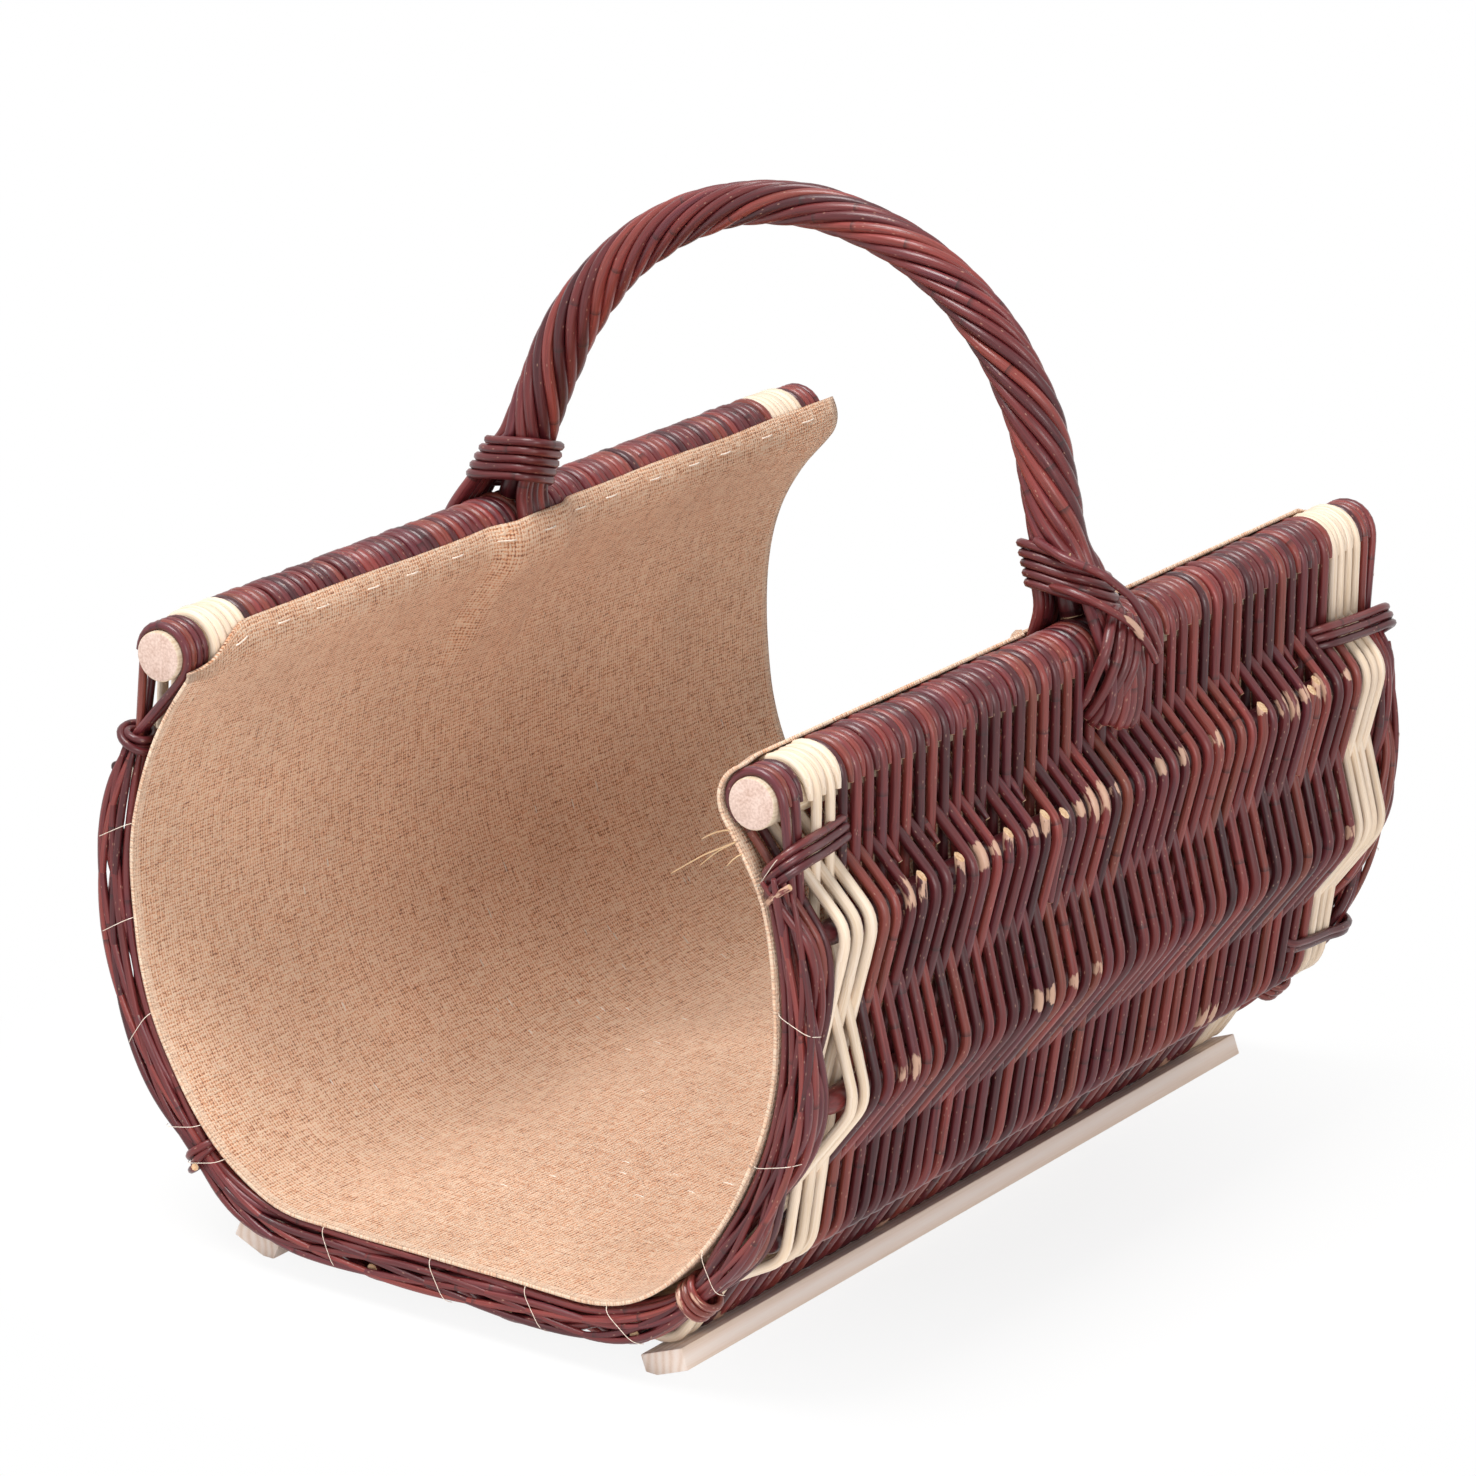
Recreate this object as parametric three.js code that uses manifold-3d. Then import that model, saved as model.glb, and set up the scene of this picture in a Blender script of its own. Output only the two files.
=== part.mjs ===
// Wicker firewood basket: an open trough of willow rods woven round ten long stakes,
// hung from two wooden rails, lined with jute, with a twisted bow handle and two tilted runners.
// Millimetres, +Z up, +Y along the logs, origin on the floor under the middle of the basket.

import * as THREE from 'three';
import { mergeVertices } from 'three/addons/utils/BufferGeometryUtils.js';
import Module from 'manifold-3d';

const wasm = await Module();
wasm.setup();

// Driving dimensions: the overall body
const railLength = 500;
const railSpacing = 300;
const railDiameter = 22;
const wallRadius = 180;
const floorCornerRadius = 80;
const troughDepth = 251;
const clearance = 0.4;
const bentRodRoom = 0.8;

// Driving dimensions: stakes and weave
const stakeDiameter = 11;
const stakeEndInset = 1;
const topStakeDrop = 61;
const sideStakesPerSide = 3;
const runnerStakeStation = 101;
const floorStakeStation = 35;
const weaverDiameter = 4.8;
const weaveClearance = 0.7;
const weaverWrapStart = -24;
const weaverWrapEnd = 200;
const weaverLeavePlace = 0.34;
const weaverLeaveShare = 0.25;
const creamBandWidth = 11.8;
const creamBandsPerEnd = 2;
const brownBandCount = 12;
const ribsPerBrownBand = 3;

// Driving dimensions: end rims and their ties
const rimRodDiameter = 6.8;
const rimEndInset = 9.2;
const rimOverTopEnd = 140;
const rimInsideEnd = 166;
const tieRodDiameter = 2.6;
const tieTurns = 2;

// Driving dimensions: bow handle
const handleInset = 17.5;
const handleCentreAboveRails = 41;
const handleRodCount = 8;
const handleTurns = 3;
const crownRodDiameter = 5.2;
const legRodDiameter = 6.2;
const crownRodGap = 0.62;
const legRodGap = 1.38;
const handleTailOutside = 33;
const handleTailInside = 42;
const handleTailSettle = 1;
const handleFanAtRail = 1.3;

// Driving dimensions: collars round the feet of the handle
const collarRodDiameter = 4.4;
const collarTurns = 4.5;
const collarLift = 23;
const collarTopLift = 46;
const collarHalfWidth = 14;
const collarHalfDepth = 11.5;
const rightCollarTilt = 24;
const windingGap = 0.6;

// Driving dimensions: lining
const liningThickness = 1.6;
const liningEndInset = 2;
const liningWrapAngle = 50;
const liningWrapAtHandle = 18;
const liningRidgeLength = 76;
const liningRidgeFade = 16;
const liningRailFade = 46;

// Driving dimensions: runners and nails
const runnerEndGap = 0.8;
const runnerWidth = 22;
const runnerHeight = 10;
const runnerPlanedDepth = 2;
const nailDiameter = 2.5;
const nailHeadDiameter = 6;
const nailHeadHeight = 1;
const nailGripInStake = 6;
const nailsPerRunner = 3;

// How finely the round forms are divided
const railSides = 24;
const stakeSides = 12;
const rodSides = 5;
const weaveStepsInCorner = 3;
const weaveStepsInBarrel = 2;
const wrapSteps = 6;
const rimSteps = 3;
const rimWrapStep = 26;
const twistSteps = 10;
const windingSteps = 12;
const tieSides = 4;
const coreSides = 8;
const coreSteps = 22;
const nailSides = 8;
const liningStepsInCorner = 4;
const liningStepsInBarrel = 10;
const liningStepsAtRail = 4;
const liningStepsOverRail = 5;
const weldDistance = 1e-4;
const tiltRounds = 4;

const degrees = Math.PI / 180;
const railRadius = railDiameter / 2;
const stakeRadius = stakeDiameter / 2;
const weaverRadius = weaverDiameter / 2;
const rimRadius = rimRodDiameter / 2;
const tieRadius = tieRodDiameter / 2;
const legRodRadius = legRodDiameter / 2;
const collarRadius = collarRodDiameter / 2;

// Wall: a round barrel through both rails, a flat floor, and a round corner between them.
// The floor stays flat as far as its own stakes, so a deeper barrel gets a straight stretch.
const weaveReach = stakeRadius + weaveClearance + weaverRadius;
const weaveFace = weaveReach + weaverRadius;
const barrelBelowRails = Math.sqrt(wallRadius ** 2 - (railSpacing / 2) ** 2);
const cornerReach = wallRadius - floorCornerRadius;
const roundDepth = floorCornerRadius + Math.sqrt(cornerReach ** 2 - floorStakeStation ** 2);
const barrelAboveFloor = Math.min(troughDepth - barrelBelowRails, roundDepth);
const sideStraight = troughDepth - barrelBelowRails - barrelAboveFloor;
const cornerCentreX = Math.sqrt(cornerReach ** 2 - (barrelAboveFloor - floorCornerRadius) ** 2);
const cornerEndLean = Math.atan2(cornerCentreX, barrelAboveFloor - floorCornerRadius);
const cornerEndStation = cornerCentreX + floorCornerRadius * cornerEndLean;
const widestStation = cornerEndStation + wallRadius * (Math.PI / 2 - cornerEndLean);
const railLean = Math.atan2(railSpacing / 2, -barrelBelowRails);
const railStation = widestStation + sideStraight + wallRadius * (railLean - Math.PI / 2);

// How much of the straight stretch lies below a station, a distance along the wall
function straightBelow(station) {
  return Math.min(Math.max(Math.abs(station) - widestStation, 0), sideStraight);
}

// How far the wall leans from level at a station
function wallLean(station) {
  const distance = Math.abs(station) - straightBelow(station);
  if (distance < cornerCentreX) return 0;
  if (distance < cornerEndStation) return (distance - cornerCentreX) / floorCornerRadius;
  return cornerEndLean + (distance - cornerEndStation) / wallRadius;
}

// A point of the wall's own outline, with the middle of the floor at height 0
function outlinePoint(station, outwards) {
  const side = Math.sign(station) || 1;
  const distance = Math.abs(station);
  if (distance < cornerCentreX) return new THREE.Vector2(station, -outwards);
  const lean = wallLean(station);
  const inCorner = distance < cornerEndStation;
  const reach = (inCorner ? floorCornerRadius : wallRadius) + outwards;
  const centreX = inCorner ? cornerCentreX : 0;
  const centreZ = inCorner ? floorCornerRadius : barrelAboveFloor + straightBelow(station);
  return new THREE.Vector2(
    side * (centreX + reach * Math.sin(lean)),
    centreZ - reach * Math.cos(lean),
  );
}

// The runners lie against the leaning wall, so their planed lower edge sets the wall's height
const runnerLean = wallLean(runnerStakeStation);
const runnerFace = weaveFace + clearance;
const runnerEdgeDrop = (runnerFace + runnerHeight) * Math.cos(runnerLean)
  + (runnerWidth / 2) * Math.sin(runnerLean)
  - outlinePoint(runnerStakeStation, 0).y;
const floorZ = runnerEdgeDrop - runnerPlanedDepth;
const railZ = floorZ + troughDepth;

// A point of the cross-section at a station, pushed outwards from the middle of the wall
function wallPoint(station, outwards) {
  const point = outlinePoint(station, outwards);
  return point.setY(point.y + floorZ);
}

// A point of the cross-section round a rail: 0 degrees points out of the wall, 90 up along it
function railPoint(side, radius, angle) {
  const turn = railLean - Math.PI / 2 + angle * degrees;
  return new THREE.Vector2(
    side * (railSpacing / 2 + radius * Math.cos(turn)),
    railZ + radius * Math.sin(turn),
  );
}

// The angle at which a straight rod from a point of the right wall meets a circle round the rail
function touchAngle(point, radius, overTop) {
  const across = point.clone().sub(new THREE.Vector2(railSpacing / 2, railZ));
  const heading = (Math.atan2(across.y, across.x) - railLean + Math.PI / 2) / degrees;
  const opening = Math.acos(radius / across.length()) / degrees;
  return overTop ? heading + opening : heading - opening + 360;
}

// Stations of the stakes, from the left rail to the right one
const rightStations = [floorStakeStation, runnerStakeStation];
const sideStakePitch = (railStation - topStakeDrop - runnerStakeStation) / sideStakesPerSide;
for (let k = 1; k <= sideStakesPerSide; k += 1) {
  rightStations.push(runnerStakeStation + k * sideStakePitch);
}
const stakeStations = [...rightStations.map((station) => -station).reverse(), ...rightStations];
const lastStake = stakeStations.length - 1;

const basket = new THREE.Group();
basket.name = 'wicker_firewood_basket';

const brownWillow = { color: 0x5a2e2c, roughness: 0.45, metalness: 0 };
const creamWillow = { color: 0xecdcb8, roughness: 0.55, metalness: 0 };
const peeledWood = { color: 0xd9c6b0, roughness: 0.75, metalness: 0 };
const pine = { color: 0xe6d3bc, roughness: 0.7, metalness: 0 };
const jute = { color: 0xc79f7b, roughness: 0.95, metalness: 0 };
const steel = { color: 0x9a9a98, roughness: 0.4, metalness: 1 };

function addPiece(name, geometry, finish) {
  const mesh = new THREE.Mesh(geometry, new THREE.MeshStandardMaterial(finish));
  mesh.name = name;
  basket.add(mesh);
  return mesh;
}

// Solids, cuts and joins
function toSolid(geometry) {
  const bare = geometry.clone();
  bare.deleteAttribute('normal');
  bare.deleteAttribute('uv');
  const merged = mergeVertices(bare, weldDistance);
  return new wasm.Manifold(new wasm.Mesh({
    numProp: 3,
    vertProperties: new Float32Array(merged.attributes.position.array),
    triVerts: new Uint32Array(merged.index.array),
  }));
}

function toGeometry(solid) {
  const mesh = solid.getMesh();
  const geometry = new THREE.BufferGeometry();
  geometry.setAttribute('position', new THREE.BufferAttribute(mesh.vertProperties, 3));
  geometry.setIndex(new THREE.BufferAttribute(mesh.triVerts, 1));
  geometry.computeVertexNormals();
  return geometry;
}

function cut(geometry, tools) {
  let solid = toSolid(geometry);
  for (const tool of tools) solid = solid.subtract(toSolid(tool));
  return toGeometry(solid);
}

function join(geometries) {
  const [first, ...others] = geometries.map(toSolid);
  return toGeometry(others.reduce((joined, solid) => joined.add(solid), first));
}

function meshFrom(points, triangles) {
  const geometry = new THREE.BufferGeometry();
  const flat = points.flatMap((point) => [point.x, point.y, point.z]);
  geometry.setAttribute('position', new THREE.Float32BufferAttribute(flat, 3));
  geometry.setIndex(triangles);
  geometry.computeVertexNormals();
  return geometry;
}

// A rod along a list of points, with a radius at each point and a flat cut at each end
function rod(path, radii, sides) {
  const tangents = path.map((_, i) => {
    const ahead = path[Math.min(i + 1, path.length - 1)];
    const behind = path[Math.max(i - 1, 0)];
    return ahead.clone().sub(behind).normalize();
  });
  const startsAlongY = Math.abs(tangents[0].y) > Math.abs(tangents[0].x) + Math.abs(tangents[0].z);
  const reference = startsAlongY ? new THREE.Vector3(1, 0, 0) : new THREE.Vector3(0, 1, 0);
  let across = reference.cross(tangents[0]);
  const points = [];
  path.forEach((centre, i) => {
    across = across.clone().addScaledVector(tangents[i], -across.dot(tangents[i])).normalize();
    const other = tangents[i].clone().cross(across);
    for (let k = 0; k < sides; k += 1) {
      const angle = (k / sides) * 2 * Math.PI;
      points.push(centre.clone()
        .addScaledVector(across, radii[i] * Math.cos(angle))
        .addScaledVector(other, radii[i] * Math.sin(angle)));
    }
  });
  const triangles = [];
  for (let i = 0; i + 1 < path.length; i += 1) {
    for (let k = 0; k < sides; k += 1) {
      const a = i * sides + k;
      const b = i * sides + ((k + 1) % sides);
      triangles.push(a, b, b + sides, a, b + sides, a + sides);
    }
  }
  const last = (path.length - 1) * sides;
  for (let k = 1; k + 1 < sides; k += 1) {
    triangles.push(0, k + 1, k, last, last + k, last + k + 1);
  }
  return meshFrom(points, triangles);
}

function evenRod(path, radius, sides) {
  return rod(path, path.map(() => radius), sides);
}

// One edge of a strip, a width to the left of a line of points in the cross-section
function shiftLine(line, width) {
  const normals = line.slice(1).map((point, i) => {
    const along = point.clone().sub(line[i]).normalize();
    return new THREE.Vector2(-along.y, along.x);
  });
  return line.map((point, i) => {
    const before = normals[Math.max(i - 1, 0)];
    const after = normals[Math.min(i, normals.length - 1)];
    const mitre = before.clone().add(after).divideScalar(1 + before.dot(after));
    return point.clone().addScaledVector(mitre, width);
  });
}

// A cross-section in X and Z, pulled out along Y
function pullAlongY(outline, fromY, toY) {
  const geometry = new THREE.ExtrudeGeometry(new THREE.Shape(outline), {
    depth: toY - fromY,
    bevelEnabled: false,
  });
  geometry.rotateX(Math.PI / 2);
  geometry.translate(0, toY, 0);
  return geometry;
}

function mirrored(line) {
  return line.map((point) => new THREE.Vector2(-point.x, point.y)).reverse();
}

function blend(from, to, share) {
  return from + (to - from) * share;
}

function smooth(share) {
  const held = Math.min(Math.max(share, 0), 1);
  return held * held * (3 - 2 * held);
}

// Least gap between the turns of a winding, measured between its points
function leastGap(path, diameter) {
  let least = Infinity;
  for (let i = 0; i < path.length; i += 1) {
    for (let k = i + windingSteps - 2; k < path.length; k += 1) {
      least = Math.min(least, path[i].distanceTo(path[k]) - diameter);
    }
  }
  return least;
}

// Rails: two peeled dowels that the whole weave hangs from
for (const [name, side] of [['rail_left', -1], ['rail_right', 1]]) {
  const rail = addPiece(
    name,
    new THREE.CylinderGeometry(railRadius, railRadius, railLength, railSides),
    peeledWood,
  );
  rail.position.set((side * railSpacing) / 2, 0, railZ);
}

// Weave: flat ribs, each a few weavers wide, from over one rail to over the other. The ribs of
// a brown band are one solid, joined where they cross and where they lie over the rails.
const wrapReach = railRadius + clearance + weaverRadius;
const halfWrapStep = (weaverWrapEnd - weaverWrapStart) / wrapSteps / 2;
const wrapCircle = wrapReach / Math.cos(halfWrapStep * degrees);
const wrapFace = wrapCircle + weaverRadius / Math.cos(halfWrapStep * degrees);

// The stretch from the top stake of the right wall to the end of the wrap over the rail
function overRail(outwards) {
  const topStation = stakeStations[lastStake];
  const reach = blend(outwards, wrapReach, weaverLeaveShare);
  const leaving = wallPoint(blend(topStation, railStation, weaverLeavePlace), reach);
  const line = [leaving];
  for (let k = 0; k <= wrapSteps; k += 1) {
    line.push(railPoint(1, wrapCircle, blend(weaverWrapStart, weaverWrapEnd, k / wrapSteps)));
  }
  return line;
}

// Steps of a rib between two stakes: one on the flat floor, most round the corners
function spanSteps(from, to) {
  const stations = [Math.abs(from), Math.abs(to)];
  if (Math.max(...stations) < cornerCentreX) return 1;
  return Math.min(...stations) > cornerEndStation ? weaveStepsInBarrel : weaveStepsInCorner;
}

function weaverLine(parity) {
  const sign = (k) => (k % 2 === 0 ? parity : -parity);
  const line = mirrored(overRail(sign(0) * weaveReach));
  for (let k = 0; k < lastStake; k += 1) {
    const steps = spanSteps(stakeStations[k], stakeStations[k + 1]);
    for (let step = 0; step < steps; step += 1) {
      const share = step / steps;
      const station = blend(stakeStations[k], stakeStations[k + 1], share);
      line.push(wallPoint(station, sign(k) * weaveReach * Math.cos(share * Math.PI)));
    }
  }
  line.push(wallPoint(stakeStations[lastStake], sign(lastStake) * weaveReach));
  return line.concat(overRail(sign(lastStake) * weaveReach));
}

// Neighbouring ribs run the opposite way: a rib with parity 1 starts outside the first stake
function ribParity(rib) {
  return rib % 2 === 0 ? 1 : -1;
}

function ribSolid(parity, fromY, toY) {
  const line = weaverLine(parity);
  const outline = [...shiftLine(line, weaverRadius), ...shiftLine(line, -weaverRadius).reverse()];
  return pullAlongY(outline, fromY, toY);
}

// The rim takes the last stretch of each end, and its ties pass between it and the weave
const rimY = railLength / 2 - rimEndInset;
const rimReach = stakeRadius + weaveClearance + rimRadius;
const rimSwing = rimRadius + clearance / 2;
const rimSwingPeak = Math.sin((Math.PI * Math.floor(rimSteps / 2)) / rimSteps);
const tieReach = rimRadius + clearance + tieRadius;
const tieCircle = tieReach / Math.cos(Math.PI / windingSteps);
const runnerLength = 2 * (rimY - rimSwing - rimRadius - runnerEndGap);
const weaveHalfLength = rimY - rimSwing - tieCircle - tieRadius - clearance;
const creamPitch = creamBandWidth + clearance;
const brownHalfLength = weaveHalfLength - creamBandsPerEnd * creamPitch;
const brownPitch = (2 * brownHalfLength + clearance) / brownBandCount;
const ribWidth = (brownPitch - clearance) / ribsPerBrownBand;
const brownRibCount = brownBandCount * ribsPerBrownBand;

// Where a rib of the brown bands starts; the ribs of a band touch and bands keep a clearance
function ribStart(rib) {
  const band = Math.floor(rib / ribsPerBrownBand);
  return -brownHalfLength + band * brownPitch + (rib % ribsPerBrownBand) * ribWidth;
}

for (let band = 0; band < brownBandCount; band += 1) {
  const ribs = [];
  for (let k = 0; k < ribsPerBrownBand; k += 1) {
    const rib = band * ribsPerBrownBand + k;
    ribs.push(ribSolid(ribParity(rib), ribStart(rib), ribStart(rib) + ribWidth));
  }
  const number = String(band + 1).padStart(2, '0');
  addPiece(`brown_weave_${number}`, join(ribs), brownWillow);
}
for (const [end, name] of [[-1, 'front'], [1, 'back']]) {
  for (let band = 0; band < creamBandsPerEnd; band += 1) {
    const nearY = brownHalfLength + clearance + band * creamPitch;
    const farY = nearY + creamBandWidth;
    const parity = ribParity(band + (end > 0 ? brownRibCount : 1));
    const span = end > 0 ? [nearY, farY] : [-farY, -nearY];
    addPiece(`cream_weave_${name}_${band + 1}`, ribSolid(parity, ...span), creamWillow);
  }
}

// Everything on a runner is made upright under its stake and then leans with the wall
function runnerFrame(side) {
  const stake = wallPoint(side * runnerStakeStation, 0);
  const along = new THREE.Vector3(side * Math.cos(runnerLean), 0, Math.sin(runnerLean));
  const up = new THREE.Vector3(-side * Math.sin(runnerLean), 0, Math.cos(runnerLean));
  const frame = new THREE.Matrix4().makeBasis(along, up, along.clone().cross(up));
  return frame.setPosition(stake.x, 0, stake.y);
}

// A nail stands head down: through the runner, past a rib that runs inside, into the stake
function nailSolid(side, y, extra) {
  const underside = -(runnerFace + runnerHeight);
  const tip = nailGripInStake - stakeRadius + extra;
  const shank = nailDiameter / 2 + extra;
  const head = nailHeadDiameter / 2 + extra;
  const headTop = underside + nailHeadHeight + extra;
  const outline = [
    new THREE.Vector2(0, underside - extra),
    new THREE.Vector2(head, underside - extra),
    new THREE.Vector2(head, headTop),
    new THREE.Vector2(shank, headTop),
    new THREE.Vector2(shank, tip - nailDiameter),
    new THREE.Vector2(0, tip),
  ];
  const nail = new THREE.LatheGeometry(outline, nailSides);
  nail.applyMatrix4(runnerFrame(side));
  nail.translate(0, y, 0);
  return nail;
}

// Nails go where a rib runs inside the runner's stake, spread evenly along the runner
function nailPlaces(side) {
  const stake = stakeStations.indexOf(side * runnerStakeStation);
  const places = [];
  for (let rib = 0; rib < brownRibCount; rib += 1) {
    if (ribParity(rib + stake) > 0) continue;
    places.push(ribStart(rib) + ribWidth / 2);
  }
  return Array.from({ length: nailsPerRunner }, (_, k) => (
    places[Math.floor(((k + 0.5) * places.length) / nailsPerRunner)]
  ));
}

// Stakes: straight rods along the basket, with nail holes in the two that carry the runners
const stakeLength = railLength - 2 * stakeEndInset;
stakeStations.forEach((station, k) => {
  const place = wallPoint(station, 0);
  const name = `stake_${String(k + 1).padStart(2, '0')}`;
  const shape = new THREE.CylinderGeometry(stakeRadius, stakeRadius, stakeLength, stakeSides);
  if (Math.abs(station) !== runnerStakeStation) {
    addPiece(name, shape, brownWillow).position.set(place.x, 0, place.y);
    return;
  }
  const side = Math.sign(station);
  shape.translate(place.x, 0, place.y);
  const holes = nailPlaces(side).map((y) => nailSolid(side, y, clearance));
  addPiece(name, cut(shape, holes), brownWillow);
});

// Runners: two tilted slats, planed level along the edge that stands on the floor
for (const [name, side] of [['left', -1], ['right', 1]]) {
  const slat = new THREE.BoxGeometry(runnerWidth, runnerHeight, runnerLength);
  slat.translate(0, -(runnerFace + runnerHeight / 2), 0);
  slat.applyMatrix4(runnerFrame(side));
  const ground = new THREE.BoxGeometry(railSpacing, railLength, runnerHeight);
  ground.translate((side * railSpacing) / 2, 0, -runnerHeight / 2);
  const holes = nailPlaces(side).map((y) => nailSolid(side, y, clearance));
  addPiece(`runner_${name}`, cut(slat, [ground, ...holes]), pine);
  nailPlaces(side).forEach((y, k) => {
    addPiece(`nail_${name}_${k + 1}`, nailSolid(side, y, 0), steel);
  });
}

// End rims: two rods twined round the stake ends, one over the top of each rail
const rimWrap = railRadius + clearance + rimRadius;
const rimWrapCircle = rimWrap / Math.cos((rimWrapStep / 2) * degrees);

// Where a rim rod lies between two stakes, or between the top stake and the rail
function rimPlace(turn, strand) {
  const half = turn * Math.PI + strand * Math.PI;
  const knots = [-railStation, ...stakeStations, railStation];
  const knot = Math.min(Math.floor(turn), knots.length - 2);
  const share = turn - knot;
  const reachAt = (k) => (k === 0 || k === knots.length - 1 ? rimWrap : rimReach);
  const reach = blend(reachAt(knot), reachAt(knot + 1), (1 - Math.cos(share * Math.PI)) / 2);
  return {
    station: blend(knots[knot], knots[knot + 1], share),
    outwards: reach * Math.cos(half),
    swing: (rimSwing * Math.sin(half)) / rimSwingPeak,
  };
}

function rimPoint(turn, strand, end) {
  const place = rimPlace(turn, strand);
  const flat = wallPoint(place.station, place.outwards);
  return new THREE.Vector3(flat.x, end * (rimY + place.swing), flat.y);
}

// The end of a rim rod over the top of the right rail, or up its inner side
function rimOverRail(leaving, overTop, end) {
  const start = touchAngle(leaving, rimWrapCircle, overTop);
  const stop = overTop ? rimOverTopEnd : rimInsideEnd;
  const steps = Math.max(Math.ceil(Math.abs(stop - start) / rimWrapStep), 1);
  const line = [];
  for (let k = 0; k <= steps; k += 1) {
    const flat = railPoint(1, rimWrapCircle, blend(start, stop, k / steps));
    line.push(new THREE.Vector3(flat.x, end * rimY, flat.y));
  }
  return line;
}

function rimRodLine(strand, end) {
  const turns = stakeStations.length + 1;
  const body = [];
  for (let step = 1; step < turns * rimSteps; step += 1) {
    body.push(rimPoint(step / rimSteps, strand, end));
  }
  const first = body[0];
  const last = body[body.length - 1];
  const leftOver = strand === 0;
  const rightOver = (turns + strand) % 2 === 0;
  const left = rimOverRail(new THREE.Vector2(-first.x, first.z), leftOver, end)
    .map((point) => new THREE.Vector3(-point.x, point.y, point.z)).reverse();
  const right = rimOverRail(new THREE.Vector2(last.x, last.z), rightOver, end);
  return [...left, ...body, ...right];
}

for (const [end, name] of [[-1, 'front'], [1, 'back']]) {
  for (const strand of [0, 1]) {
    const line = rimRodLine(strand, end);
    addPiece(`rim_${name}_${strand + 1}`, evenRod(line, rimRadius, rodSides), brownWillow);
  }
}

// Rim ties: short windings round both rim rods where they cross
const tiePitch = tieRodDiameter + windingGap;

// The stretch of a rim rod between the two of its points that lie round a turn
function rimStretch(turn, strand, end) {
  const from = rimPoint(Math.floor(turn * rimSteps) / rimSteps, strand, end);
  const to = rimPoint((Math.floor(turn * rimSteps) + 1) / rimSteps, strand, end);
  return { middle: from.clone().lerp(to, 0.5), along: to.sub(from).setY(0).normalize() };
}

function tieLine(turn, end) {
  const strands = [0, 1].map((strand) => rimStretch(turn, strand, end));
  const middle = strands[0].middle.clone().lerp(strands[1].middle, 0.5);
  const along = strands[0].along.clone().add(strands[1].along).normalize();
  const outward = new THREE.Vector3(along.z, 0, -along.x);
  const halfLength = (tieTurns * tiePitch) / 2;
  const reachOf = (strand, way) => strand.middle.clone().sub(middle)
    .addScaledVector(strand.along, way * (halfLength + tieRadius)).dot(outward);
  const spread = Math.max(...strands.flatMap((strand) => (
    [-1, 1].map((way) => Math.abs(reachOf(strand, way)))
  )));
  const line = [];
  for (let step = 0; step <= tieTurns * windingSteps; step += 1) {
    const angle = ((step + 0.5) / windingSteps) * 2 * Math.PI;
    const outwards = Math.sign(Math.cos(angle)) * spread + tieCircle * Math.cos(angle);
    const swing = Math.sign(Math.sin(angle)) * rimSwing + tieCircle * Math.sin(angle);
    line.push(middle.clone()
      .addScaledVector(along, (step / windingSteps) * tiePitch - halfLength)
      .addScaledVector(outward, outwards)
      .setY(end * (rimY + swing)));
  }
  return line;
}

const windingGaps = [];
const topCrossing = 0.5;
const lowCrossing = sideStakesPerSide + 0.5;
for (const [end, endName] of [[-1, 'front'], [1, 'back']]) {
  for (const [place, placeName] of [[topCrossing, 'upper'], [lowCrossing, 'lower']]) {
    for (const [turn, sideName] of [[place, 'left'], [stakeStations.length + 1 - place, 'right']]) {
      const name = `tie_${endName}_${placeName}_${sideName}`;
      const line = tieLine(turn, end);
      windingGaps.push(leastGap(line, tieRodDiameter));
      addPiece(name, evenRod(line, tieRadius, tieSides), brownWillow);
    }
  }
}

// Bow handle: an arc with a straight leg down to each rail, which the leg points at
const handleRadius = railSpacing / 2 - handleInset;
const handleZ = railZ + handleCentreAboveRails;
const footDistance = Math.hypot(railSpacing / 2, handleCentreAboveRails);
const legLean = Math.acos(handleRadius / footDistance)
  - Math.atan2(handleCentreAboveRails, railSpacing / 2);
const legLength = Math.sqrt(footDistance ** 2 - handleRadius ** 2);
const arcLength = handleRadius * (Math.PI - 2 * legLean);
const twistLength = arcLength + 2 * (legLength - collarTopLift);

// A point of a leg: outwards across it, along the basket, and up it from the middle of the rail
function legPoint(side, outwards, y, up) {
  return new THREE.Vector3(
    side * (railSpacing / 2 - up * Math.sin(legLean) + outwards * Math.cos(legLean)),
    y,
    railZ + up * Math.cos(legLean) + outwards * Math.sin(legLean),
  );
}

// The middle of the handle and the way that its outside faces, by length from the left collar
function handleAxis(length) {
  const onLeg = legLength - collarTopLift;
  const side = length < twistLength / 2 ? -1 : 1;
  const fromEnd = side < 0 ? length : twistLength - length;
  if (fromEnd < onLeg) {
    const centre = legPoint(side, 0, 0, collarTopLift + fromEnd);
    const facing = legPoint(side, 1, 0, collarTopLift + fromEnd).sub(centre);
    return { centre, facing };
  }
  const angle = Math.PI - legLean - (length - onLeg) / handleRadius;
  const facing = new THREE.Vector3(Math.cos(angle), 0, Math.sin(angle));
  const centre = facing.clone().multiplyScalar(handleRadius).add(new THREE.Vector3(0, 0, handleZ));
  return { centre, facing };
}

// The rods stand side by side in a circle, and the twist ends with each rod in a place of another
const placeAngle = (2 * Math.PI) / handleRodCount;
const placeShare = 2 * Math.sin(placeAngle / 2);
const crownRodCircle = (crownRodDiameter + crownRodGap) / placeShare;
const legRodCircle = (legRodDiameter + legRodGap) / placeShare;
const twistPlaces = Math.round(handleTurns * handleRodCount);
const handleSteps = Math.round(handleTurns * twistSteps);

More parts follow.
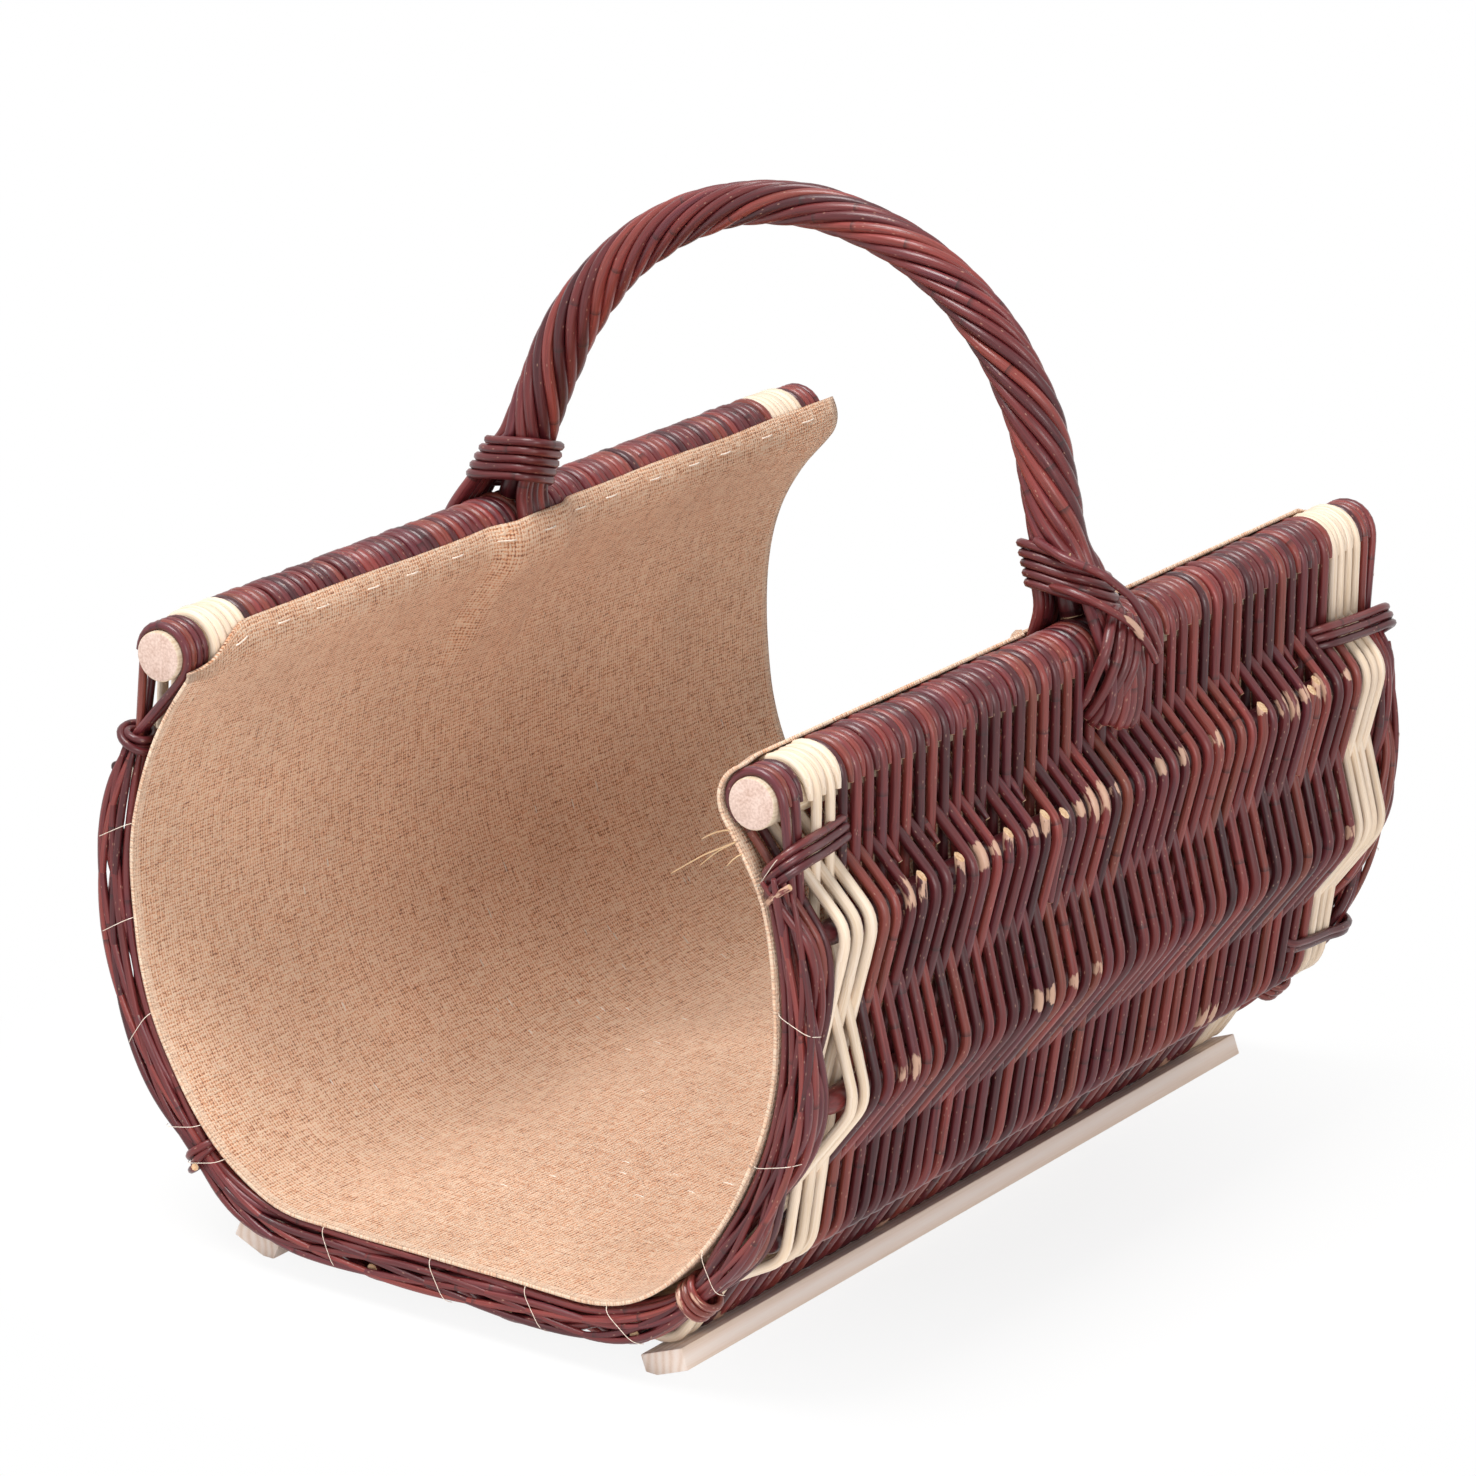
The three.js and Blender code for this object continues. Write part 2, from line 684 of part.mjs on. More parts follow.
// Towards the legs the rods are thicker and stand in a wider circle
function legShare(length) {
  return smooth(Math.abs(length - twistLength / 2) / (arcLength / 2));
}

function rodCircle(length) {
  return blend(crownRodCircle, legRodCircle, legShare(length));
}

function handleRodRadius(length) {
  return blend(crownRodDiameter, legRodDiameter, legShare(length)) / 2;
}

// Below its collar a rod passes outside or inside the rail and ends against the wall
const tailLean = railLean - Math.PI / 2 - legLean;
const railPass = (wrapFace + clearance + legRodRadius) / Math.cos(tailLean);
const insidePass = weaveFace + clearance + legRodRadius + bentRodRoom;
const cornerShare = Math.max(...Array.from({ length: handleRodCount }, (_, index) => (
  Math.abs(Math.sin((index + 0.5) * placeAngle))
)));
const railPassOut = railPass * Math.cos(tailLean);
const railPassUp = Math.abs(railPass * Math.sin(tailLean));

function handleTail(side, angle) {
  const outside = Math.cos(angle) > 0;
  const way = outside ? 1 : -1;
  const depth = (collarHalfDepth * Math.sin(angle)) / cornerShare;
  const onWall = (drop, outwards) => {
    const flat = wallPoint(side * (railStation - drop), outwards);
    return new THREE.Vector3(flat.x, depth * handleFanAtRail, flat.y);
  };
  const tail = [
    legPoint(side, way * collarHalfWidth, depth, collarLift),
    legPoint(side, way * railPassOut, depth * handleFanAtRail, railPassUp),
  ];
  if (outside) {
    tail.push(onWall(handleTailOutside / 2, railPass - handleTailSettle));
    tail.push(onWall(handleTailOutside, railPass - 2 * handleTailSettle));
  } else {
    tail.push(onWall(0, -railPass), onWall(handleTailInside / 2, -(railPass + insidePass) / 2));
    tail.push(onWall(handleTailInside, -insidePass));
  }
  return tail;
}

function handleRodLine(index) {
  const startAngle = (index + 0.5) * placeAngle;
  const path = handleTail(-1, startAngle).reverse();
  const radii = path.map(() => legRodRadius);
  for (let step = 0; step <= handleSteps; step += 1) {
    const length = (step / handleSteps) * twistLength;
    const angle = startAngle + (step / handleSteps) * twistPlaces * placeAngle;
    const { centre, facing } = handleAxis(length);
    const circle = rodCircle(length);
    path.push(centre.addScaledVector(facing, circle * Math.cos(angle))
      .add(new THREE.Vector3(0, circle * Math.sin(angle), 0)));
    radii.push(handleRodRadius(length));
  }
  const tail = handleTail(1, startAngle + twistPlaces * placeAngle);
  return { path: [...path, ...tail], radii: [...radii, ...tail.map(() => legRodRadius)] };
}

for (let index = 0; index < handleRodCount; index += 1) {
  const { path, radii } = handleRodLine(index);
  addPiece(`handle_rod_${index + 1}`, rod(path, radii, rodSides), brownWillow);
}

// Handle core: the stout rod inside the twist, standing on the wrapped rails
const sagShare = Math.cos(Math.PI / twistSteps);

function coreRadius(length) {
  return rodCircle(length) * sagShare - handleRodRadius(length) - clearance;
}

const corePath = [legPoint(-1, 0, 0, wrapFace + clearance)];
const coreRadii = [coreRadius(0)];
for (let step = 0; step <= coreSteps; step += 1) {
  const length = (step / coreSteps) * twistLength;
  corePath.push(handleAxis(length).centre);
  coreRadii.push(coreRadius(length));
}
corePath.push(legPoint(1, 0, 0, wrapFace + clearance));
coreRadii.push(coreRadius(0));
addPiece('handle_core', rod(corePath, coreRadii, coreSides), brownWillow);

// Collars: one long winding round each foot, wider where the rods part to straddle the rail
const collarReach = (legRodRadius + clearance + collarRadius) / Math.cos(Math.PI / windingSteps);

function collarHalf(up, halfAtCollar, halfAtRail) {
  if (up > collarLift) {
    const share = Math.min((up - collarLift) / (collarTopLift - collarLift), 1);
    return blend(halfAtCollar, legRodCircle, share);
  }
  const drop = collarLift - railPassUp;
  return blend(halfAtCollar, halfAtRail, (collarLift - up) / drop);
}

function collarLine(side, tilt) {
  const pitch = (collarRodDiameter + windingGap) / Math.cos(tilt * degrees);
  const line = [];
  for (let step = 0; step <= collarTurns * windingSteps; step += 1) {
    const angle = ((step + 0.5) / windingSteps) * 2 * Math.PI;
    const level = collarLift + (step / windingSteps) * pitch;
    let up = level;
    let outwards = 0;
    for (let round = 0; round < tiltRounds; round += 1) {
      const half = collarHalf(up, collarHalfWidth, railPassOut);
      outwards = Math.sign(Math.cos(angle)) * half + collarReach * Math.cos(angle);
      up = level - outwards * Math.tan(tilt * degrees);
    }
    const depth = collarHalf(up, collarHalfDepth, collarHalfDepth * handleFanAtRail);
    const y = Math.sign(Math.sin(angle)) * depth + collarReach * Math.sin(angle);
    line.push(legPoint(side, outwards, y, up));
  }
  return line;
}

for (const [name, side, tilt] of [['left', -1, 0], ['right', 1, rightCollarTilt]]) {
  const line = collarLine(side, tilt);
  windingGaps.push(leastGap(line, collarRodDiameter));
  addPiece(`handle_collar_${name}`, evenRod(line, collarRadius, rodSides), brownWillow);
}

// Lining: one sheet of jute inside the trough, over both rails, raised where it covers the rods
const liningFace = Math.max(weaveFace, rimReach + rimRadius) + clearance;
const liningWrap = Math.max(wrapFace, rimWrapCircle + rimRadius) + clearance;
const ridgeRoom = legRodRadius + clearance + bentRodRoom;
const ridgeRise = railPass + ridgeRoom - liningWrap;
const ridgeHalfDepth = collarHalfDepth * handleFanAtRail + ridgeRoom;
const ridgeFoot = liningRidgeLength - handleTailInside;

function liningHalf(ridge) {
  const line = [];
  const push = (station) => {
    const drop = railStation - station;
    const toRail = smooth(1 - drop / liningRailFade);
    const toRidge = smooth((liningRidgeLength - drop) / ridgeFoot);
    const inwards = blend(liningFace, liningWrap, toRail) + ridge * ridgeRise * toRidge;
    line.push(wallPoint(station, -inwards));
  };
  for (let k = 0; k < liningStepsInCorner; k += 1) {
    push(blend(cornerCentreX, cornerEndStation, k / liningStepsInCorner));
  }
  const fadeStation = railStation - liningRailFade;
  for (let k = 0; k < liningStepsInBarrel; k += 1) {
    push(blend(cornerEndStation, fadeStation, k / liningStepsInBarrel));
  }
  for (let k = 0; k < liningStepsAtRail; k += 1) {
    push(blend(fadeStation, railStation, k / liningStepsAtRail));
  }
  const level = 180 - (railLean / degrees - 90);
  const stop = level - blend(liningWrapAngle, liningWrapAtHandle, ridge);
  for (let k = 0; k <= liningStepsOverRail; k += 1) {
    const angle = blend(180, stop, k / liningStepsOverRail);
    line.push(railPoint(1, liningWrap + ridge * ridgeRise, angle));
  }
  return line;
}

function liningLine(ridge) {
  const right = liningHalf(ridge);
  return [...mirrored(right), ...right];
}

const liningHalfLength = railLength / 2 - liningEndInset;
const ridgeColumns = [
  [-liningHalfLength, 0],
  [-ridgeHalfDepth - liningRidgeFade, 0],
  [-ridgeHalfDepth, 1],
  [ridgeHalfDepth, 1],
  [ridgeHalfDepth + liningRidgeFade, 0],
  [liningHalfLength, 0],
];

// A sheet through the same number of points in each column, closed round all its edges
function liningGeometry() {
  const points = [];
  const rows = liningLine(0).length;
  for (const [y, ridge] of ridgeColumns) {
    const outer = liningLine(ridge);
    const inner = shiftLine(outer, liningThickness);
    for (const flat of [...outer, ...inner]) points.push(new THREE.Vector3(flat.x, y, flat.y));
  }
  const columnSize = 2 * rows;
  const lastColumn = ridgeColumns.length - 1;
  const triangles = [];
  const square = (a, b, c, d) => triangles.push(a, c, b, a, d, c);
  for (let column = 0; column < lastColumn; column += 1) {
    const outer = column * columnSize;
    const inner = outer + rows;
    for (let row = 0; row + 1 < rows; row += 1) {
      square(outer + row, outer + row + 1, outer + row + 1 + columnSize, outer + row + columnSize);
      square(inner + row + columnSize, inner + row + 1 + columnSize, inner + row + 1, inner + row);
    }
    square(inner, outer, outer + columnSize, inner + columnSize);
    const end = rows - 1;
    square(outer + end, inner + end, inner + end + columnSize, outer + end + columnSize);
  }
  for (let row = 0; row + 1 < rows; row += 1) {
    const near = row;
    square(near + rows, near + rows + 1, near + 1, near);
    const far = lastColumn * columnSize + row;
    square(far, far + 1, far + rows + 1, far + rows);
  }
  return meshFrom(points, triangles);
}

addPiece('jute_lining', liningGeometry(), jute);

console.log(`least gap between turns of a winding: ${Math.min(...windingGaps).toFixed(2)} mm`);

export default basket;
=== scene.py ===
import math
import random

import bpy
from mathutils import Matrix, Vector, noise


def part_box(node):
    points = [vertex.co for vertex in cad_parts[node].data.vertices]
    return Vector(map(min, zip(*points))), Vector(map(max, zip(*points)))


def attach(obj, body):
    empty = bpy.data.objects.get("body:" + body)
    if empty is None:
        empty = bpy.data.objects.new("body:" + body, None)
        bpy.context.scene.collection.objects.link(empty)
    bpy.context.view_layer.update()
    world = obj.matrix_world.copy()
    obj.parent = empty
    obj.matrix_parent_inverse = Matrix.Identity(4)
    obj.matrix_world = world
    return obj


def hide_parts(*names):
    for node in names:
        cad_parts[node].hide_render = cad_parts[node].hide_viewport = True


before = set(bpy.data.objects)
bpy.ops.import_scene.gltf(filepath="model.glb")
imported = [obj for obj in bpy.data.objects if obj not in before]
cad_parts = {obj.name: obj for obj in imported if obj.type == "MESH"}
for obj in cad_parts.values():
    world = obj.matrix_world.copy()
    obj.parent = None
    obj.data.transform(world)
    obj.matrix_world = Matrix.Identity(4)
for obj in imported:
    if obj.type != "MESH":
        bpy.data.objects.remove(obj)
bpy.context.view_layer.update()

chance = random.Random(41)
noise.seed_set(41)

# Sizes of the real basket, in metres. The rails' places come from the frame.

rail_low, rail_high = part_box("rail_right")
RAIL_X = (rail_low.x + rail_high.x) / 2
RAIL_Z = (rail_low.z + rail_high.z) / 2
RAIL_RADIUS = (rail_high.z - rail_low.z) / 2
RAIL_HALF_LENGTH = rail_high.y

WALL_RADIUS = 0.180
CORNER_RADIUS = 0.080
TROUGH_DEPTH = 0.251
BARREL_BELOW_RAILS = math.sqrt(WALL_RADIUS**2 - RAIL_X**2)
BARREL_ABOVE_FLOOR = TROUGH_DEPTH - BARREL_BELOW_RAILS
FLOOR_Z = RAIL_Z - TROUGH_DEPTH
BARREL_Z = FLOOR_Z + BARREL_ABOVE_FLOOR
CORNER_X = math.sqrt(
    (WALL_RADIUS - CORNER_RADIUS) ** 2 - (BARREL_ABOVE_FLOOR - CORNER_RADIUS) ** 2
)
CORNER_END_LEAN = math.atan2(CORNER_X, BARREL_ABOVE_FLOOR - CORNER_RADIUS)
CORNER_END = CORNER_X + CORNER_RADIUS * CORNER_END_LEAN
RAIL_LEAN = math.atan2(RAIL_X, -BARREL_BELOW_RAILS)
RAIL_STATION = CORNER_END + WALL_RADIUS * (RAIL_LEAN - CORNER_END_LEAN)

STAKE_RADIUS = 0.0055
RUNNER_STATION = 0.101
TOP_STAKE_DROP = 0.061
SIDE_PITCH = (RAIL_STATION - TOP_STAKE_DROP - RUNNER_STATION) / 3
RIGHT_STATIONS = [0.035] + [RUNNER_STATION + k * SIDE_PITCH for k in range(4)]
STATIONS = [-s for s in reversed(RIGHT_STATIONS)] + RIGHT_STATIONS

WEAVER_RADIUS = 0.0024
WEAVE_REACH = 0.0086
WEAVE_FACE = WEAVE_REACH + WEAVER_RADIUS
WRAP_REACH = RAIL_RADIUS + 0.0004 + WEAVER_RADIUS
WEAVE_HALF_LENGTH = 0.2303
CREAM_INNER_EDGE = 0.2059
BROWN_WEAVERS = 84
SIDES = ((-1, "left"), (1, "right"))
ENDS = ((-1, "front"), (1, "back"))


def wall_lean(station):
    """How far the wall leans from level at a distance along it from the middle of the floor."""
    distance = abs(station)
    if distance < CORNER_X:
        return 0
    if distance < CORNER_END:
        return (distance - CORNER_X) / CORNER_RADIUS
    return CORNER_END_LEAN + (distance - CORNER_END) / WALL_RADIUS


def wall_point(station, outwards, y=0.0):
    """A point at a station of the wall, pushed out of the middle of its thickness."""
    side = -1 if station < 0 else 1
    distance = abs(station)
    if distance < CORNER_X:
        return Vector((station, y, FLOOR_Z - outwards))
    lean = wall_lean(station)
    if distance < CORNER_END:
        reach = CORNER_RADIUS + outwards
        x = CORNER_X + reach * math.sin(lean)
        return Vector((side * x, y, FLOOR_Z + CORNER_RADIUS - reach * math.cos(lean)))
    reach = WALL_RADIUS + outwards
    return Vector((side * reach * math.sin(lean), y, BARREL_Z - reach * math.cos(lean)))


def rail_point(side, radius, degrees, y=0.0):
    """A point round a rail: 0 degrees points out of the wall, 90 up along it."""
    turn = RAIL_LEAN - math.pi / 2 + math.radians(degrees)
    x = RAIL_X + radius * math.cos(turn)
    return Vector((side * x, y, RAIL_Z + radius * math.sin(turn)))


def smooth(share):
    held = min(max(share, 0.0), 1.0)
    return held * held * (3 - 2 * held)


def blend(start, end, share):
    return start + (end - start) * share


# Lines and rods

def even(points, step):
    """The same line with its points an even step apart."""
    lengths = [0.0]
    for here, ahead in zip(points, points[1:]):
        lengths.append(lengths[-1] + (ahead - here).length)
    count = max(round(lengths[-1] / step), 2)
    line = []
    place = 0
    for k in range(count + 1):
        target = lengths[-1] * k / count
        while place < len(points) - 2 and lengths[place + 1] < target:
            place += 1
        gap = max(lengths[place + 1] - lengths[place], 1e-9)
        line.append(points[place].lerp(points[place + 1], (target - lengths[place]) / gap))
    return line


def bent(points, step, rounds):
    """The same line in even steps, with its kinks rounded and its ends kept."""
    points = even(points, step)
    for _ in range(rounds):
        inner = [
            before * 0.25 + here * 0.5 + after * 0.25
            for before, here, after in zip(points, points[1:], points[2:])
        ]
        points = [points[0], *inner, points[-1]]
    return points


def frames_along(path):
    """At each point of a line: its direction, and two directions across it that don't spin."""
    directions = []
    for k in range(len(path)):
        ahead = path[min(k + 1, len(path) - 1)]
        behind = path[max(k - 1, 0)]
        directions.append((ahead - behind).normalized())
    start = Vector((0, 1, 0)) if abs(directions[0].y) < 0.8 else Vector((1, 0, 0))
    across = start.cross(directions[0])
    frames = []
    for direction in directions:
        across = (across - direction * across.dot(direction)).normalized()
        frames.append((direction, across, direction.cross(across)))
    return frames


SCAR_GAP = (0.05, 0.11)
SCAR_WIDTH = 0.0028
KNOB = 0.05
PEEL_SPREAD = 0.55


def grown_radii(path, start, end, knob):
    """Radii of a grown rod that tapers along a line, with a low swelling at each leaf scar."""
    length = sum((b - a).length for a, b in zip(path, path[1:]))
    scars = []
    scar = chance.uniform(0.0, 0.06)
    while scar < length:
        scars.append(scar)
        scar += chance.uniform(*SCAR_GAP)
    radii = []
    along = 0.0
    for k, point in enumerate(path):
        if k:
            along += (point - path[k - 1]).length
        radius = blend(start, end, along / length)
        near = [along - scar for scar in scars if abs(along - scar) < 0.01]
        swell = sum(math.exp(-((away / SCAR_WIDTH) ** 2)) for away in near)
        radii.append(radius * (1 + knob * swell))
    return radii


def rod(path, start, end=None, tint=None, peel=None, facing=(None, None), knob=KNOB):
    """What one rod needs: its line, its radii, its shade and the way its cut ends face.

    Its peel says how far the bark has come off, all along it or at each point of its line.
    """
    if peel is None:
        peel = chance.random() ** 2 * PEEL_SPREAD
    return {
        "path": path,
        "radii": grown_radii(path, start, start if end is None else end, knob),
        "tint": chance.random() if tint is None else tint,
        "peel": peel if isinstance(peel, list) else [peel] * len(path),
        "facing": facing,
    }


BEVEL_SHARE = 0.86
BEVEL_RISE = 0.12
CUT_SLANT = 1.1


def rods_piece(name, rods, skin, cut, slot, *nodes, sides=8):
    """Places one piece of round rods with bevelled cut ends, with its UV map in metres."""
    points, faces, uvs, slots, tints, peels = [], [], [], [], [], []
    for one in rods:
        path, radii, facing = one["path"], one["radii"], one["facing"]
        frames = frames_along(path)
        first, last = len(points), len(path) - 1
        along = chance.uniform(0, 8)
        lengths = []
        for k, (direction, across, other) in enumerate(frames):
            if k:
                along += (path[k] - path[k - 1]).length
            lengths.append(along)
            lead = direction if k else -direction
            cut_way = facing[0 if k == 0 else 1] if k in (0, last) else None
            for corner in range(sides):
                angle = 2 * math.pi * corner / sides
                offset = (across * math.cos(angle) + other * math.sin(angle)) * radii[k]
                if cut_way is not None:
                    normal = (lead + cut_way * CUT_SLANT).normalized()
                    offset -= lead * (offset.dot(normal) / lead.dot(normal))
                points.append(path[k] + offset)
        for k in range(last):
            girth = 2 * math.pi * radii[k] / sides
            for corner in range(sides):
                a = first + k * sides + corner
                b = first + k * sides + (corner + 1) % sides
                faces.append((a, b, b + sides, a + sides))
                uvs += map_corners(corner * girth, (corner + 1) * girth, *lengths[k : k + 2])
        for k, way in ((0, -1), (last, 1)):
            ring = [first + k * sides + corner for corner in range(sides)]
            lid = [len(points) + corner for corner in range(sides)]
            rise = frames[k][0] * way * radii[k] * BEVEL_RISE
            middle = sum((points[p] for p in ring), Vector()) / sides
            points += [middle + (points[p] - middle) * BEVEL_SHARE + rise for p in ring]
            for here in range(sides):
                after = (here + 1) % sides
                faces.append([ring[here], ring[after], lid[after], lid[here]][::way])
            faces.append(lid[::way])
            uvs += [(0.0, 0.0)] * (5 * sides)
        slots += [0] * (last * sides) + [1] * (2 * sides + 2)
        tints += [one["tint"]] * (len(points) - first)
        for bare in (*one["peel"], one["peel"][0], one["peel"][-1]):
            peels += [bare] * sides
    piece = finished_mesh(name, points, faces, uvs, [skin, cut])
    piece.data.polygons.foreach_set("material_index", slots)
    for label, values in (("tint", tints), ("peel", peels)):
        attribute = piece.data.attributes.new(label, "FLOAT", "POINT")
        attribute.data.foreach_set("value", values)
    place(piece, slot, *nodes)


def map_corners(near, far, low, high):
    """Where the corners of a four-sided face lie in a UV map."""
    return [(near, low), (far, low), (far, high), (near, high)]


def finished_mesh(name, points, faces, uvs, materials):
    """A new object at the origin from points in the row frame, with its UV map."""
    mesh = bpy.data.meshes.new(name)
    mesh.from_pydata([tuple(p) for p in points], [], faces)
    layer = mesh.uv_layers.new(name="surface")
    layer.data.foreach_set("uv", [value for uv in uvs for value in uv])
    for material in materials:
        mesh.materials.append(material)
    mesh.polygons.foreach_set("use_smooth", [len(face) == 4 for face in faces])
    mesh.update()
    return linked(name, mesh)


def linked(name, data):
    """A new object of the scene."""
    item = bpy.data.objects.new(name, data)
    bpy.context.scene.collection.objects.link(item)
    return item


def place(piece, slot, *nodes):
    """The piece rides on the basket and stands for CAD nodes, whose parts it hides. Its slot is not
    used.
    """
    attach(piece, "root")
    if nodes:
        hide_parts(*nodes)


# Materials

def linear(colour):
    """A written sRGB hex colour as opaque linear light."""
    levels = [int(colour[k : k + 2], 16) / 255 for k in (1, 3, 5)]
    light = [v / 12.92 if v <= 0.04045 else ((v + 0.055) / 1.055) ** 2.4 for v in levels]
    return (*light, 1)


def add(tree, kind, inputs=None, out=0, stops=None, **settings):
    """Adds a node with its settings, values, links and ramp stops, and gives one of its outputs."""
    node = tree.nodes.new("ShaderNode" + kind)
    for name, value in settings.items():
        setattr(node, name, value)
    for socket, value in (inputs or {}).items():
        if isinstance(value, bpy.types.NodeSocket):
            tree.links.new(value, node.inputs[socket])
        else:
            node.inputs[socket].default_value = linear(value) if isinstance(value, str) else value
    if stops:
        ramp = node.color_ramp
        while len(ramp.elements) < len(stops):
            ramp.elements.new(0.5)
        for element, (position, colour) in zip(ramp.elements, stops):
            element.position = position
            element.color = linear(colour)
    return node if out is None else node.outputs[out]


def calculate(tree, operation, *terms, **settings):
    return add(tree, "Math", dict(enumerate(terms)), operation=operation, **settings)


def vector(tree, operation, inputs):
    return add(tree, "VectorMath", inputs, operation=operation)


def remap(tree, value, start, stop, low, high):
    """A value held between two limits, in another range."""
    limits = {"From Min": start, "From Max": stop, "To Min": low, "To Max": high}
    return add(tree, "MapRange", {"Value": value, **limits})


def patches(tree, spot, scale, detail, roughness=0.5, stretch=None, out=0):
    """Soft random patches, after a stretch where they have a long way."""
    if stretch:
        spot = add(tree, "Mapping", {"Vector": spot, "Scale": stretch})
    inputs = {"Vector": spot, "Scale": scale, "Detail": detail, "Roughness": roughness}
    return add(tree, "TexNoise", inputs, out)


def cells(across, along):
    """The stretch that gives cells of a size in millimetres, across a rod and along it."""
    return (1000 / across, 1000 / along, 1)


def painted(tree, share, below, above, blend_type="MIX"):
    inputs = {0: share, 6: below, 7: above}
    return add(tree, "Mix", inputs, 2, data_type="RGBA", blend_type=blend_type)


def new_material(name):
    material = bpy.data.materials.new(name)
    material.use_nodes = True
    material.node_tree.nodes.clear()
    return material, material.node_tree


def finished(material, colour, roughness, height, depth, **constants):
    """The material with its shader, and with a bump of a real depth in metres."""
    tree = material.node_tree
    bump = add(tree, "Bump", {"Height": height, "Strength": 1.0, "Distance": depth})
    inputs = {"Base Color": colour, "Roughness": roughness, "Normal": bump}
    inputs.update({socket.replace("_", " "): value for socket, value in constants.items()})
    add(tree, "OutputMaterial", {"Surface": add(tree, "BsdfPrincipled", inputs)}, None)
    return material


def stained_willow(name, shades, bare, scar_colour):
    """Willow rod steamed in its bark, stained and given a thin satin lacquer.

    The eye gets a different shade from rod to rod, fine lines along the bark, dark leaf scars,
    pale dots of cork, and a few stripes where the bark has come off.
    """
    material, tree = new_material(name)
    surface = add(tree, "UVMap", uv_map="surface")
    tint = add(tree, "Attribute", out="Fac", attribute_name="tint")
    peel = add(tree, "Attribute", out="Fac", attribute_name="peel")

    # Bark lines, 0.8 mm wide and 30 mm long, and blotches of stain, 5 mm by 45 mm
    lines = patches(tree, surface, 1.0, 3.0, 0.6, cells(0.8, 30))
    blotches = patches(tree, surface, 1.0, 2.0, stretch=cells(5, 45))
    shade = calculate(tree, "MULTIPLY_ADD", blotches, 0.55, -0.275)
    shade = calculate(tree, "ADD", shade, tint, use_clamp=True)
    colour = add(tree, "ValToRGB", {"Fac": shade}, stops=shades)
    light = remap(tree, lines, 0.3, 0.7, 0.70, 1.34)
    colour = painted(tree, 1.0, colour, light, "MULTIPLY")

    # Leaf scars: a dark ring about every 85 mm of rod
    rings = calculate(tree, "MULTIPLY", add(tree, "SeparateXYZ", {0: surface}, 1), 1 / 0.085)
    rings = calculate(tree, "FRACT", calculate(tree, "ADD", rings, tint))
    scar = remap(tree, rings, 0.03, 0.0, 0.0, 0.75)
    colour = painted(tree, scar, colour, scar_colour)

    # Cork dots, some 0.5 mm by 1.2 mm, in cells of 2.2 mm by 5 mm
    dotted = add(tree, "Mapping", {"Vector": surface, "Scale": cells(2.2, 5)})
    from_dot = add(tree, "TexVoronoi", {"Vector": dotted, "Scale": 1.0}, "Distance")
    colour = painted(tree, remap(tree, from_dot, 0.15, 0.09, 0.0, 0.34), colour, bare)

    # Ragged patches without bark, some 3 mm by 18 mm, where the peel is high
    ragged = patches(tree, surface, 1.0, 4.0, 0.55, cells(3.2, 18))
    level = remap(tree, peel, 0.5, 1.0, 0.80, 0.42)
    missing = remap(tree, calculate(tree, "SUBTRACT", ragged, level), 0.0, 0.05, 0.0, 0.85)
    colour = painted(tree, missing, colour, bare)

    dull = remap(tree, lines, 0.25, 0.75, 0.28, 0.46)
    height = calculate(tree, "MULTIPLY_ADD", scar, 1.5, lines)
    height = calculate(tree, "MULTIPLY_ADD", missing, -1.2, height)
    coat = {"Coat_Weight": 0.25, "Coat_Roughness": 0.22}
    return finished(material, colour, dull, height, 0.00022, IOR=1.42, **coat)


def bare_wood(name, pale, dark, fibre, roughness):
    """Wood without its bark: fine fibre lines along the piece, from its own UV map."""
    material, tree = new_material(name)
    surface = add(tree, "UVMap", uv_map="surface")
    fibres = patches(tree, surface, 1.0, 4.0, 0.6, cells(fibre, 40))
    colour = add(tree, "ValToRGB", {"Fac": fibres}, stops=[(0.3, dark), (0.62, pale)])
    tint = add(tree, "Attribute", out="Fac", attribute_name="tint")
    colour = painted(tree, 1.0, colour, remap(tree, tint, 0.0, 1.0, 0.9, 1.06), "MULTIPLY")
    dull = remap(tree, fibres, 0.0, 1.0, roughness - 0.08, roughness + 0.1)
    return finished(material, colour, dull, fibres, 0.00012, IOR=1.5)


def end_grain(name, pale, dark):
    """Sawn or cut end of a round rod: pale pith and darker wood in specks, dry and dull."""
    material, tree = new_material(name)
    spot = add(tree, "TexCoord", out="Object")
    fine = patches(tree, spot, 900.0, 3.0)
    broad = patches(tree, spot, 160.0, 2.0)
    mixed = calculate(tree, "MULTIPLY", fine, 0.6)
    mixed = calculate(tree, "MULTIPLY_ADD", broad, 0.4, mixed)
    colour = add(tree, "ValToRGB", {"Fac": mixed}, stops=[(0.35, dark), (0.6, pale)])
    dull = remap(tree, fine, 0.0, 1.0, 0.7, 0.9)
    return finished(material, colour, dull, mixed, 0.0001, IOR=1.5)


